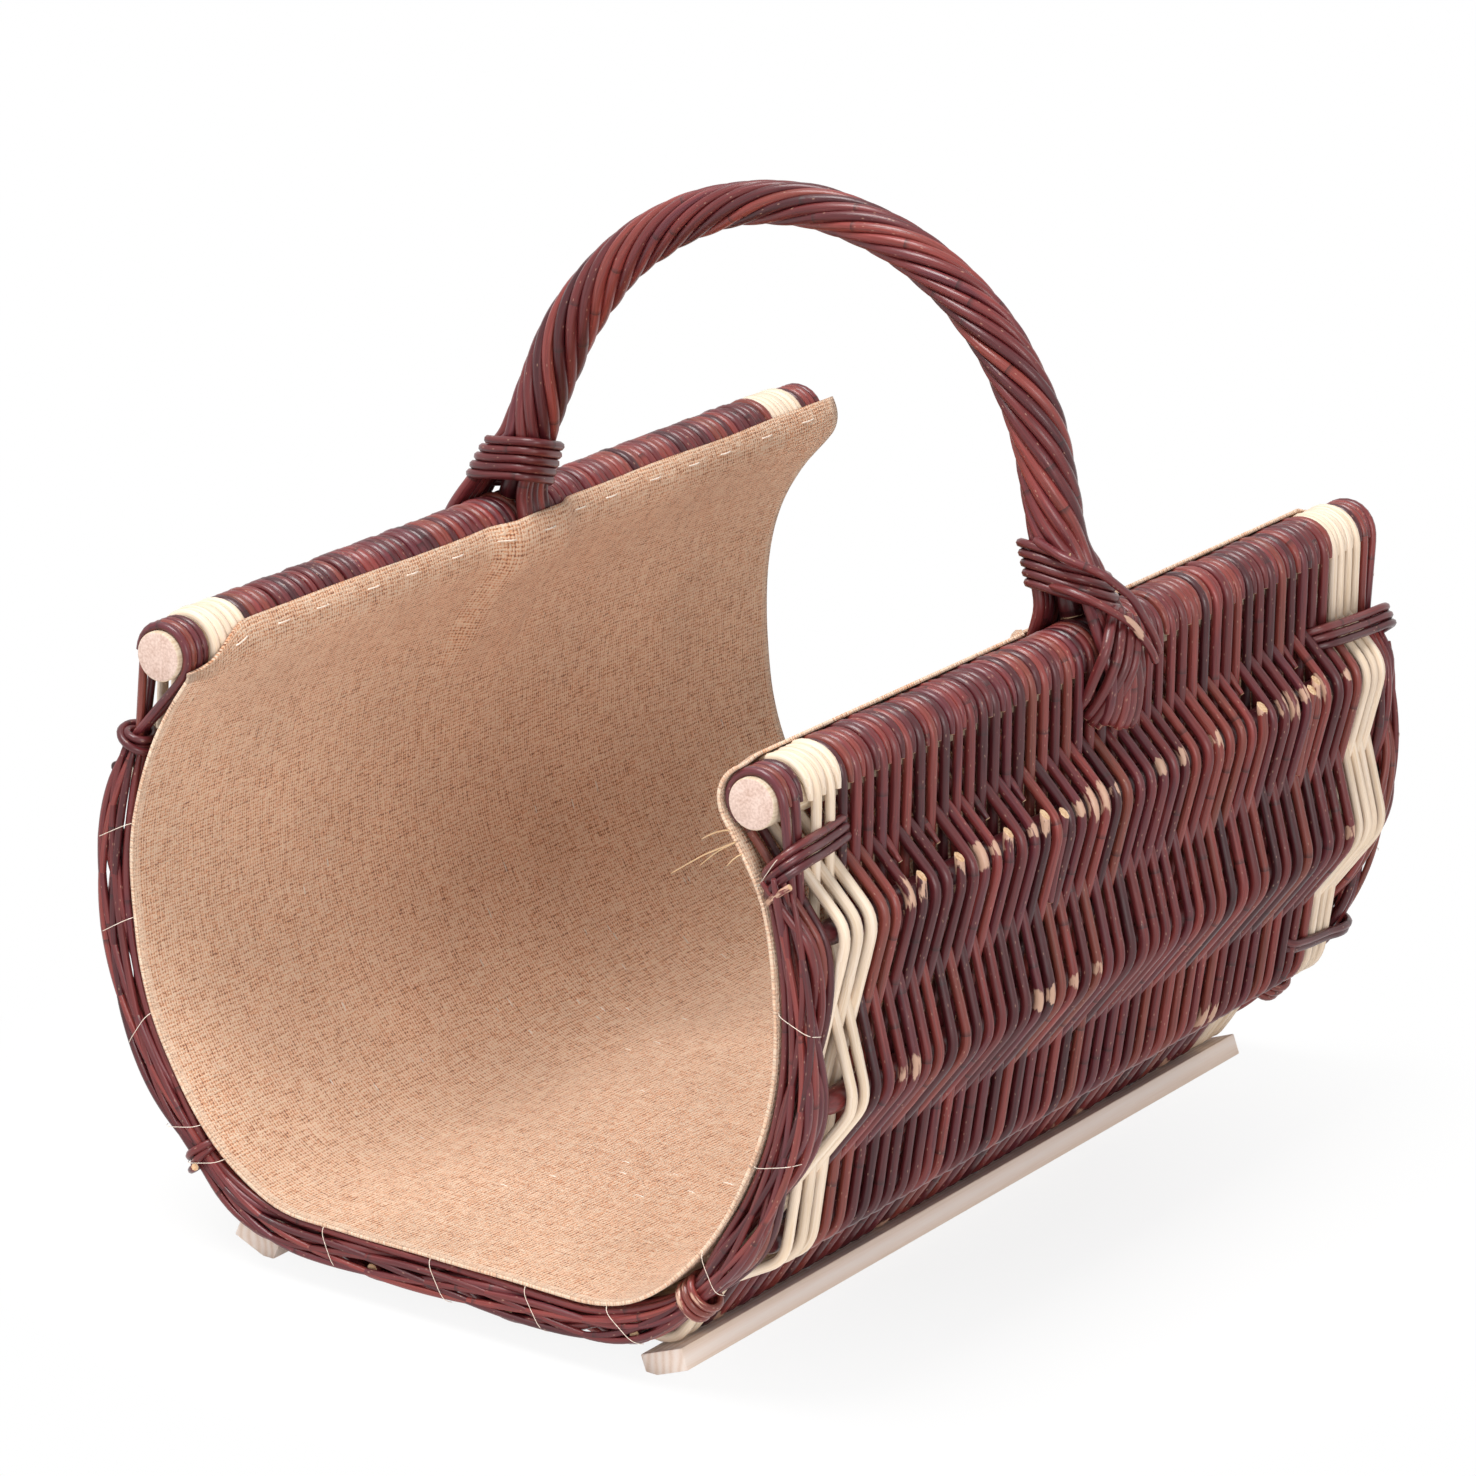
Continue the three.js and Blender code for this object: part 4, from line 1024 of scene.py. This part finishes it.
def leg_point(side, outwards, y, up):
    """A point of a leg: across it, along the basket, and up it from the middle of the rail."""
    x = RAIL_X - up * math.sin(LEG_LEAN) + outwards * math.cos(LEG_LEAN)
    z = RAIL_Z + up * math.cos(LEG_LEAN) + outwards * math.sin(LEG_LEAN)
    return Vector((side * x, y + foot_y(side), z))


def handle_axis(length):
    """The middle of the handle and the way its outside faces, by length from the left collar."""
    on_leg = LEG_LENGTH - COLLAR_TOP
    share = min(max(length / TWIST_LENGTH, 0.0), 1.0)
    side = -1 if share < 0.5 else 1
    from_end = length if side < 0 else TWIST_LENGTH - length
    if from_end < on_leg:
        centre = leg_point(side, 0, 0, COLLAR_TOP + from_end)
        facing = leg_point(side, 1, 0, COLLAR_TOP + from_end) - centre
    else:
        angle = math.pi - LEG_LEAN - (length - on_leg) / HANDLE_RADIUS
        facing = Vector((math.cos(angle), 0, math.sin(angle)))
        centre = facing * HANDLE_RADIUS + Vector((0, 0, HANDLE_Z))
    # A hand-bent bow: it leans a little to the right and along the basket
    centre.x += CROWN_X * math.sin(math.pi * share) + LEG_BOW * abs(math.sin(2 * math.pi * share))
    centre.y = RIGHT_FOOT_Y * share**0.6
    return centre, facing


def leg_share(length):
    return smooth(abs(length - TWIST_LENGTH / 2) / (ARC_LENGTH / 2))


def collar_half(up, way):
    """How far the rods lie from the middle of the leg, on its outside or inside."""
    down = min(max((COLLAR_TOP - up) / (COLLAR_TOP - COLLAR_FOOT), 0), 1)
    return blend(COLLAR_OUTER, COLLAR_OUTER_FOOT, down) if way > 0 else COLLAR_INNER


def handle_tail(side, angle, outside_end):
    """A rod below the twist: through the collar, past the rail and down the wall."""
    way = 1 if math.cos(angle) > 0 else -1
    depth = COLLAR_DEPTH * math.sin(angle)
    fan = math.asin(math.sin(angle)) / (math.pi / 2) * (OUTER_FAN if way > 0 else INNER_FAN)

    tail = [
        leg_point(side, way * collar_half(up, way), depth, up)
        for up in (COLLAR_TOP - 0.006, COLLAR_FOOT)
    ]
    tail.append(leg_point(side, way * RAIL_PASS_OUT, fan, RAIL_PASS_UP))
    # Below the rail, each step is a drop down the wall and a distance out of it
    steps = [(0.0, -RAIL_PASS), (0.021, -(RAIL_PASS + INSIDE_PASS) / 2), (0.042, -INSIDE_PASS)]
    if way > 0:
        outs = (RAIL_PASS - 0.0012, 0.0120, 0.0060)
        steps = [(outside_end * share, out) for share, out in zip((0.45, 0.85, 1.0), outs)]
    for drop, outwards in steps:
        tail.append(wall_point(side * (RAIL_STATION - drop), outwards, fan + foot_y(side)))
    return tail


def handle_rod(index):
    start_angle = (index + 0.5) * 2 * math.pi / HANDLE_RODS
    twist = []
    steps = 120
    for k in range(steps + 1):
        length = TWIST_LENGTH * k / steps
        share = leg_share(length)
        loose = 0.0006 * noise.noise(Vector((length * 22, index * 3.3, 0)))
        angle = start_angle + 2 * math.pi * HANDLE_TURNS * k / steps
        angle += 0.10 * noise.noise(Vector((length * 12, index * 7.7, 4)))
        circle = blend(CROWN_CIRCLE, LEG_CIRCLE, share) + loose
        centre, facing = handle_axis(length)
        offset = facing * math.cos(angle) + Vector((0, math.sin(angle), 0))
        twist.append(centre + offset * circle)
    left = handle_tail(-1, start_angle, chance.uniform(0.040, 0.048))[::-1]
    right = handle_tail(1, start_angle, chance.uniform(0.029, 0.036))
    path = bent(left + twist + right, 0.0032, 4)
    radii = []
    thick = chance.uniform(0.92, 1.08)
    for point, grown in zip(path, grown_radii(path, 1.0, 1.0, 0.04)):
        rise = (point.z - RAIL_Z - THIN_ABOVE) / (HANDLE_Z + HANDLE_RADIUS - RAIL_Z - THIN_ABOVE)
        below = smooth((RAIL_Z + 0.02 - point.z) / 0.03)
        leg = blend(LEG_ROD, TAIL_ROD, below)
        radii.append(blend(leg, CROWN_ROD, smooth(rise)) * thick * grown)
    made = rod(path, LEG_ROD, peel=chance.uniform(0, 0.5))
    made["radii"] = radii
    return made


for index in range(HANDLE_RODS):
    rods = [handle_rod(index)]
    name = f"twisted_rod_{index + 1:02d}"
    nodes = [f"handle_rod_{index + 1}"] if index < CAD_HANDLE_RODS else []
    rods_piece(name, rods, bark, cut_wood, "brown_willow", *nodes, sides=10)

core_ends = [leg_point(side, 0, 0, WRAP_FACE + 0.0006) for side in (-1, 1)]
core_line = [handle_axis(TWIST_LENGTH * k / 60)[0] for k in range(61)]
core_line = [core_ends[0], *core_line, core_ends[1]]
core = rod(bent(core_line, 0.006, 2), CORE_RADIUS, tint=0.1, peel=0.0)
rods_piece("stout_middle_rod", [core], bark, cut_wood, "brown_willow", "handle_core", sides=14)

# Collars: one long winding round each foot, wider where the rods part to straddle the rail
COLLAR_ROD = 0.0021
COLLAR_TURNS = 4.8
COLLAR_FALLS = {-1: (0.48, 0.29), 1: (0.42, 0.42)}


def squared(wave):
    """A wave with its tops flattened, so that a winding goes round the corners of a bundle."""
    return math.copysign(abs(wave) ** 0.3, wave)


def collar_line(side, turns, fall_in, fall_y):
    """The winding from its lowest turn up; the falls tilt it across the leg and along the basket."""
    reach = LEG_ROD + COLLAR_ROD
    pitch = 2 * COLLAR_ROD + 0.0002
    line = []
    steps = 32
    for k in range(int(turns * steps) + 1):
        angle = 2 * math.pi * (k / steps + 0.08)
        y = COLLAR_DEPTH * squared(math.sin(angle)) + reach * math.sin(angle)
        up = COLLAR_FOOT + k / steps * pitch
        for _ in range(4):
            way = 1 if math.cos(angle) > 0 else -1
            outwards = collar_half(up, way) * squared(math.cos(angle)) + reach * math.cos(angle)
            up = COLLAR_FOOT + k / steps * pitch - outwards * fall_in - y * fall_y
        line.append(leg_point(side, outwards, y, up))
    return line


def collar_tail(steps):
    """A loose end at the right collar, by millimetres out, along and up from the right rail."""
    line = [Vector((RAIL_X + x / 1000, y / 1000, RAIL_Z + z / 1000)) for x, y, z in steps]
    return bent(line, 0.003, 2)


# Rods that leave the right collar: two run on over the rail, four cross the tails below it
LONG_TAILS = [
    [(-12, -3, 31), (-6, -8, 32), (4, -12, 33), (18, -9, 29), (26, 5, 19), (30, 17, 4),
     (30, 20, -1)],
    [(-17, -6, 50), (0, -12, 47), (17, -7, 42), (24, 8, 29), (28, 21, 10), (29, 25, 2)],
]
CROSSING_TAILS = [
    [(15, 8, 22), (21, -5, 18), (23.5, -11.5, 10.5), (20.5, -14, 0), (17, -15.5, -12),
     (14, -15.5, -16)],
    [(17, 10, 21), (23, 1, 15), (25.5, -5.5, 5), (23, -9, -7), (18.5, -11.5, -17),
     (15.5, -12, -21)],
    [(19, 13, 19), (24.5, 6, 12), (26.5, 0.5, 1), (23.5, -4, -10), (19, -7.5, -21),
     (16, -8.5, -25)],
    [(20, 17, 17), (25.5, 11, 10), (27.5, 6, 0), (24.5, 1.5, -12), (19.5, -3, -23),
     (16.5, -4.5, -27)],
]

for side, name in SIDES:
    line = bent(collar_line(side, COLLAR_TURNS, *COLLAR_FALLS[side]), 0.0026, 4)
    rods = [rod(line, COLLAR_ROD * 1.05, COLLAR_ROD * 0.95, knob=0.02, tint=0.3, peel=0.3)]
    if side > 0:
        for number, steps in enumerate(LONG_TAILS):
            line = collar_tail(steps)
            bare = flayed(line, [(line[len(line) * 2 // 3], 0.010)])
            rods.append(rod(line, 0.0021, 0.0018, peel=bare if number == 0 else 0.2, tint=0.5))
        for steps, bare in zip(CROSSING_TAILS, (0.5, 0.3, 0.55, 0.7)):
            rods.append(rod(collar_tail(steps), 0.0026, 0.0022, peel=bare, tint=0.35))
    node = f"handle_collar_{name}"
    rods_piece(f"foot_collar_{name}", rods, bark, cut_wood, "brown_willow", node)


# Lining: one sheet of jute over both rails, raised where it covers the rods of the handle

LINING_HALF_LENGTH = 0.248
LINING_THICKNESS = 0.0016
LINING_INWARDS = 0.0142
LINING_WRAP = 0.0181
END_TIGHTNESS = 0.0015
END_START, END_FADE = 0.232, 0.012
SAG, END_WAVE = 0.0014, 0.0016
BACK_FLARE, BACK_PINCH = 0.007, 0.0045
EDGE_FALL = 0.0008
BACK_CORNER_SLIP, FRONT_CORNER_SLIP = 34, 52
RAIL_FADE = 0.046
RIDGE_HALF_DEPTH = 0.0165
RIDGE_FADE = 0.018
RIDGE_LENGTH = 0.076
RIDGE_RISE = RAIL_PASS + LEG_ROD + 0.0014 - LINING_WRAP
EDGE_LEVEL = {-1: 33.0, 1: 62.0}
LEVEL_AT_HANDLE = {-1: 26.0, 1: 18.0}
WALL_ROWS = 64
RAIL_ROWS = 9
COLUMNS = 110


def lining_ridge(side, y):
    return smooth(1 - (abs(y - foot_y(side)) - RIDGE_HALF_DEPTH) / RIDGE_FADE)


def lining_half(side, y):
    """The lining from the middle of the floor up one wall and over its rail."""
    ridge = lining_ridge(side, y)
    wrap = LINING_WRAP - END_TIGHTNESS * smooth((abs(y) - END_START) / END_FADE)
    line = []
    for k in range(WALL_ROWS + 1):
        station = RAIL_STATION * k / WALL_ROWS
        drop = RAIL_STATION - station
        to_rail = smooth(1 - drop / RAIL_FADE)
        to_ridge = smooth((RIDGE_LENGTH - drop) / (RIDGE_LENGTH - 0.042))
        inwards = blend(LINING_INWARDS, wrap, to_rail) + ridge * RIDGE_RISE * to_ridge
        sag = noise.noise(Vector((station * 9 * side, y * 7, 2.0)))
        inwards += SAG * (sag + 0.4) * smooth(drop / 0.06)
        wave = noise.noise(Vector((station * 22 * side, math.copysign(3.0, y), 7.0)))
        end_wave = END_WAVE * wave
        # The left back corner stands out at the rail and is drawn in below it
        flare = 0.0
        if y > 0 and side < 0:
            flare = BACK_FLARE * smooth(1 - drop / 0.022)
            flare -= BACK_PINCH * smooth(1 - abs(drop - 0.06) / 0.05)
        near_end = smooth((abs(y) - 0.19) / 0.058)
        line.append(wall_point(side * station, -inwards, y + (end_wave + flare) * near_end))
    level = 180 - (math.degrees(RAIL_LEAN) - 90)
    stop = level - blend(EDGE_LEVEL[side], LEVEL_AT_HANDLE[side], ridge)
    stop += 3.5 * noise.noise(Vector((y * 16, side, 0.3)))
    if side > 0:
        stop += BACK_CORNER_SLIP * smooth((y - 0.205) / 0.035)
    else:
        stop += FRONT_CORNER_SLIP * smooth((-0.208 - y) / 0.038)
    shift = line[-1].y
    for k in range(1, RAIL_ROWS + 1):
        degrees = blend(180, stop, k / RAIL_ROWS)
        fall = EDGE_FALL * smooth(k / RAIL_ROWS * 1.5 - 0.5)
        line.append(rail_point(side, wrap + ridge * RIDGE_RISE - fall, degrees, shift))
    return line


def lining_piece():
    columns = [blend(-LINING_HALF_LENGTH, LINING_HALF_LENGTH, k / COLUMNS) for k in range(COLUMNS + 1)]
    grid = []
    for y in columns:
        left = lining_half(-1, y)
        right = lining_half(1, y)
        grid.append(left[::-1] + right[1:])
    rows = len(grid[0])
    lengths = [0.0]
    measured = grid[10]
    for below, above in zip(measured, measured[1:]):
        lengths.append(lengths[-1] + (above - below).length)
    points = [point for column in grid for point in column]
    faces, uvs = [], []
    for c in range(len(columns) - 1):
        for r in range(rows - 1):
            a = c * rows + r
            faces.append((a, a + rows, a + rows + 1, a + 1))
            uvs += map_corners(*columns[c : c + 2], *lengths[r : r + 2])
    piece = finished_mesh("woven_jute_lining", points, faces, uvs, [jute])
    pick(piece)
    wall = piece.modifiers.new("cloth_thickness", "SOLIDIFY")
    wall.thickness = LINING_THICKNESS
    wall.offset = 0.0
    bpy.ops.object.modifier_apply(modifier=wall.name)
    return piece, lengths[-1]


lining, lining_length = lining_piece()
place(lining, "jute", "jute_lining")

# Hem stitches along both rails, 8 mm long and some 31 mm apart, three rows below the edge
STITCH_ROW = -4
STITCH_LIFT = LINING_THICKNESS / 2 + 0.0003
STITCH_HALF = 0.0042
# Steps of a stitch: shares of its half along the rail, and up from the cloth
STITCH_STEPS = ((-1, -1), (-0.85, 0), (-0.4, 1), (0.4, 1), (0.85, 0), (1, -1))
stitches = []
for side in (-1, 1):
    for k in range(15):
        middle = blend(-0.217, 0.222, k / 14) + chance.uniform(-0.004, 0.004)
        line = []
        for step, lift in STITCH_STEPS:
            y = middle + step * STITCH_HALF
            spot = lining_half(side, y)[STITCH_ROW]
            out = (spot - Vector((side * RAIL_X, spot.y, RAIL_Z))).normalized()
            line.append(spot + out * (STITCH_LIFT + lift * 0.0004))
        stitches.append(rod(bent(line, 0.0012, 1), 0.00042, knob=0.0))
rods_piece("hem_stitches", stitches, nylon, nylon, "jute", sides=6)

# Bleached flecks: ends of pale thread that stand on the cloth, and a few pulled yarns at its edge
flecks = []
for k in range(60):
    station = chance.uniform(-0.24, 0.10)
    y = chance.uniform(-0.17, 0.22)
    half = chance.uniform(0.0012, 0.0028)
    side = -1 if station < 0 else 1
    line = []
    for step in (-1, 0, 1):
        row = (abs(station) + step * half) / RAIL_STATION * WALL_ROWS
        column = lining_half(side, y)
        spot = column[int(row)].lerp(column[int(row) + 1], row - int(row))
        inwards = -outwards_at(station)
        line.append(spot + inwards * (LINING_THICKNESS / 2 + (0.0002 if step == 0 else -0.0001)))
    flecks.append(rod(bent(line, 0.0012, 0), 0.00038, knob=0.0))
rods_piece("bleached_flecks", flecks, nylon, nylon, "jute", sides=5)

# How far below the rail each pulled yarn starts, and its length
PULLED_YARNS = ((0.004, 0.012), (0.012, 0.030), (0.014, 0.018), (0.020, 0.008))
pulled = []
for k, (drop, length) in enumerate(PULLED_YARNS):
    start = lining_half(1, -LINING_HALF_LENGTH)[WALL_ROWS - round(drop / RAIL_STATION * WALL_ROWS)]
    fall = Vector((-0.75, -0.35, -0.35 - 0.15 * k)).normalized()
    line = [start, start + fall * length * 0.5 + Vector((0, 0, 0.0012)), start + fall * length]
    pulled.append(rod(bent(line, 0.002, 2), 0.0004, 0.00022, knob=0.0))
rods_piece("pulled_yarns", pulled, yarn, yarn, "jute", sides=5)

# Runners: two pine slats that lie against the leaning wall, planed level where they stand

RUNNER_LEAN = wall_lean(RUNNER_STATION)
RUNNER_FACE = WEAVE_FACE + 0.0004
RUNNER_WIDTH = 0.022
RUNNER_HEIGHT = 0.010


def runner_frame(side, y=0.0):
    """Upright under the runner's stake, then leaning with the wall."""
    stake = wall_point(side * RUNNER_STATION, 0)
    along = Vector((side * math.cos(RUNNER_LEAN), 0, math.sin(RUNNER_LEAN)))
    up = Vector((-side * math.sin(RUNNER_LEAN), 0, math.cos(RUNNER_LEAN)))
    axes = Matrix((along, along.cross(up), up)).transposed().to_4x4()
    return Matrix.Translation((stake.x, y, stake.z)) @ axes


for side, name in SIDES:
    low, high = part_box(f"runner_{name}")
    deselect()
    bpy.ops.mesh.primitive_cube_add(size=1)
    piece = bpy.context.object
    piece.name = f"pine_runner_{name}"
    piece.data.transform(Matrix.Diagonal((RUNNER_WIDTH, high.y - low.y, RUNNER_HEIGHT, 1)))
    piece.data.transform(Matrix.Translation((0, 0, -(RUNNER_FACE + RUNNER_HEIGHT / 2))))
    piece.data.transform(runner_frame(side))
    pick(piece)
    bpy.ops.object.mode_set(mode="EDIT")
    bpy.ops.mesh.select_all(action="SELECT")
    bpy.ops.mesh.bisect(plane_co=(0, 0, 0), plane_no=(0, 0, -1), use_fill=True, clear_outer=True)
    bpy.ops.mesh.select_all(action="SELECT")
    bpy.ops.mesh.normals_make_consistent(inside=False)
    bpy.ops.object.mode_set(mode="OBJECT")
    bevel_sharp(piece, 0.0007, segments=2, limit=20)
    piece.data.materials.append(pine)
    pick(piece)
    bpy.ops.object.shade_smooth_by_angle(angle=math.radians(30))
    place(piece, "pine", f"runner_{name}")

# Nails: turned once from a cylinder, head down, and copied into each runner
HEAD_RADIUS, HEAD_THICKNESS = 0.003, 0.001
HEAD_LIP = 0.00175
SHANK_LENGTH, POINT_LENGTH = 0.0225, 0.0025
deselect()
bpy.ops.mesh.primitive_cylinder_add(vertices=20, radius=HEAD_RADIUS, depth=HEAD_THICKNESS)
pattern = bpy.context.object
pattern.name = "nail_pattern"
pick(pattern)
bpy.ops.object.mode_set(mode="EDIT")
bpy.ops.mesh.select_all(action="DESELECT")
bpy.ops.object.mode_set(mode="OBJECT")
for polygon in pattern.data.polygons:
    polygon.select = polygon.normal.z > 0.9
bpy.ops.object.mode_set(mode="EDIT")
bpy.ops.mesh.inset(thickness=HEAD_LIP)
for length in (SHANK_LENGTH, POINT_LENGTH):
    bpy.ops.mesh.extrude_region_move(TRANSFORM_OT_translate={"value": (0, 0, length)})
bpy.ops.transform.resize(value=(0.1, 0.1, 1))
bpy.ops.object.mode_set(mode="OBJECT")
bevel_sharp(pattern, 0.00018, segments=2, limit=60)
for side, name in SIDES:
    for number in (1, 2, 3):
        low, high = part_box(f"nail_{name}_{number}")
        mesh = pattern.data.copy()
        foot = HEAD_THICKNESS / 2 - (RUNNER_FACE + RUNNER_HEIGHT)
        mesh.transform(runner_frame(side, (low.y + high.y) / 2) @ Matrix.Translation((0, 0, foot)))
        mesh.materials.clear()
        mesh.materials.append(steel)
        piece = linked(f"wire_nail_{name}_{number}", mesh)
        pick(piece)
        bpy.ops.object.shade_smooth_by_angle(angle=math.radians(40))
        place(piece, "steel", f"nail_{name}_{number}")
bpy.data.objects.remove(pattern)


# Studio: white floor and sky, soft light, and the camera of the photograph

WHITE = "#FFFFFF"


def white_for_camera(tree, shader, kind, share):
    """Shows a share of plain white to the camera, gloss and glass, and the shader to all else."""
    path = add(tree, "LightPath", out=None).outputs
    seen = calculate(tree, "ADD", path["Is Camera Ray"], path["Is Glossy Ray"])
    seen = calculate(tree, "ADD", seen, path["Is Transmission Ray"], use_clamp=True)
    seen = calculate(tree, "MULTIPLY", seen, share)
    bright = add(tree, kind, {"Color": WHITE, "Strength": 1.0})
    return add(tree, "MixShader", {0: seen, 1: shader, 2: bright})


world = bpy.data.worlds.new("studio_sky")
bpy.context.scene.world = world
world.use_nodes = True
tree = world.node_tree
tree.nodes.clear()
sky = add(tree, "Background", {"Color": WHITE, "Strength": 0.43})
add(tree, "OutputWorld", {"Surface": white_for_camera(tree, sky, "Background", 1.0)}, None)

deselect()
bpy.ops.mesh.primitive_circle_add(vertices=96, radius=8, fill_type="NGON")
floor = bpy.context.object
floor.name = "studio_floor"
floor_material, tree = new_material("matt_white_paper")
paper = add(tree, "BsdfPrincipled", {"Base Color": "#F6F4F2", "Roughness": 0.9})
spot = add(tree, "TexCoord", out="Object")
away = add(tree, "VectorMath", {0: spot}, "Value", operation="LENGTH")
whiteness = remap(tree, away, 0.15, 0.38, 0.84, 1.0)
shown = white_for_camera(tree, paper, "Emission", whiteness)
add(tree, "OutputMaterial", {"Surface": shown}, None)
floor.data.materials.append(floor_material)


LAMP_TARGET = Vector((0, 0, 0.2))


def soft_lamp(name, spot, width, watts):
    lamp = bpy.data.lights.new(name, "AREA")
    lamp.shape = "DISK"
    lamp.size = width
    lamp.energy = watts
    lamp_object = linked(name, lamp)
    lamp_object.location = spot
    aim = LAMP_TARGET - Vector(spot)
    lamp_object.rotation_euler = aim.to_track_quat("-Z", "Y").to_euler()


soft_lamp("key_lamp", (-0.5, -1.3, 3.6), width=1.9, watts=150)
soft_lamp("side_lamp", (2.8, -1.9, 1.2), width=1.3, watts=37)

PHOTO_SIDE = 1476
FOCAL_PIXELS = 6767
SENSOR_WIDTH = 36
CAMERA_DISTANCE = 3.0
AZIMUTH = math.radians(32.5)
ELEVATION = math.radians(18.5)
ROLL = math.radians(2.2)
AIM = Vector((0, 0, 0.195))
AIM_PIXEL = (772.9, 744.7)

camera_data = bpy.data.cameras.new("photo_camera")
camera = linked("photo_camera", camera_data)
bpy.context.scene.camera = camera
camera_data.sensor_width = SENSOR_WIDTH
camera_data.lens = SENSOR_WIDTH * FOCAL_PIXELS / PHOTO_SIDE
back = Vector((
    math.sin(AZIMUTH) * math.cos(ELEVATION),
    -math.cos(AZIMUTH) * math.cos(ELEVATION),
    math.sin(ELEVATION),
))
right = Vector((0, 0, 1)).cross(back).normalized()
up = back.cross(right)
right, up = (
    right * math.cos(ROLL) + up * math.sin(ROLL),
    up * math.cos(ROLL) - right * math.sin(ROLL),
)
camera.location = AIM + back * CAMERA_DISTANCE
forward = (
    -back * FOCAL_PIXELS
    + right * (PHOTO_SIDE / 2 - AIM_PIXEL[0])
    - up * (PHOTO_SIDE / 2 - AIM_PIXEL[1])
).normalized()
right = (right - forward * right.dot(forward)).normalized()
up = right.cross(forward)
camera.rotation_euler = Matrix((right, up, -forward)).transposed().to_euler()

scene = bpy.context.scene
scene.view_settings.view_transform = "Standard"
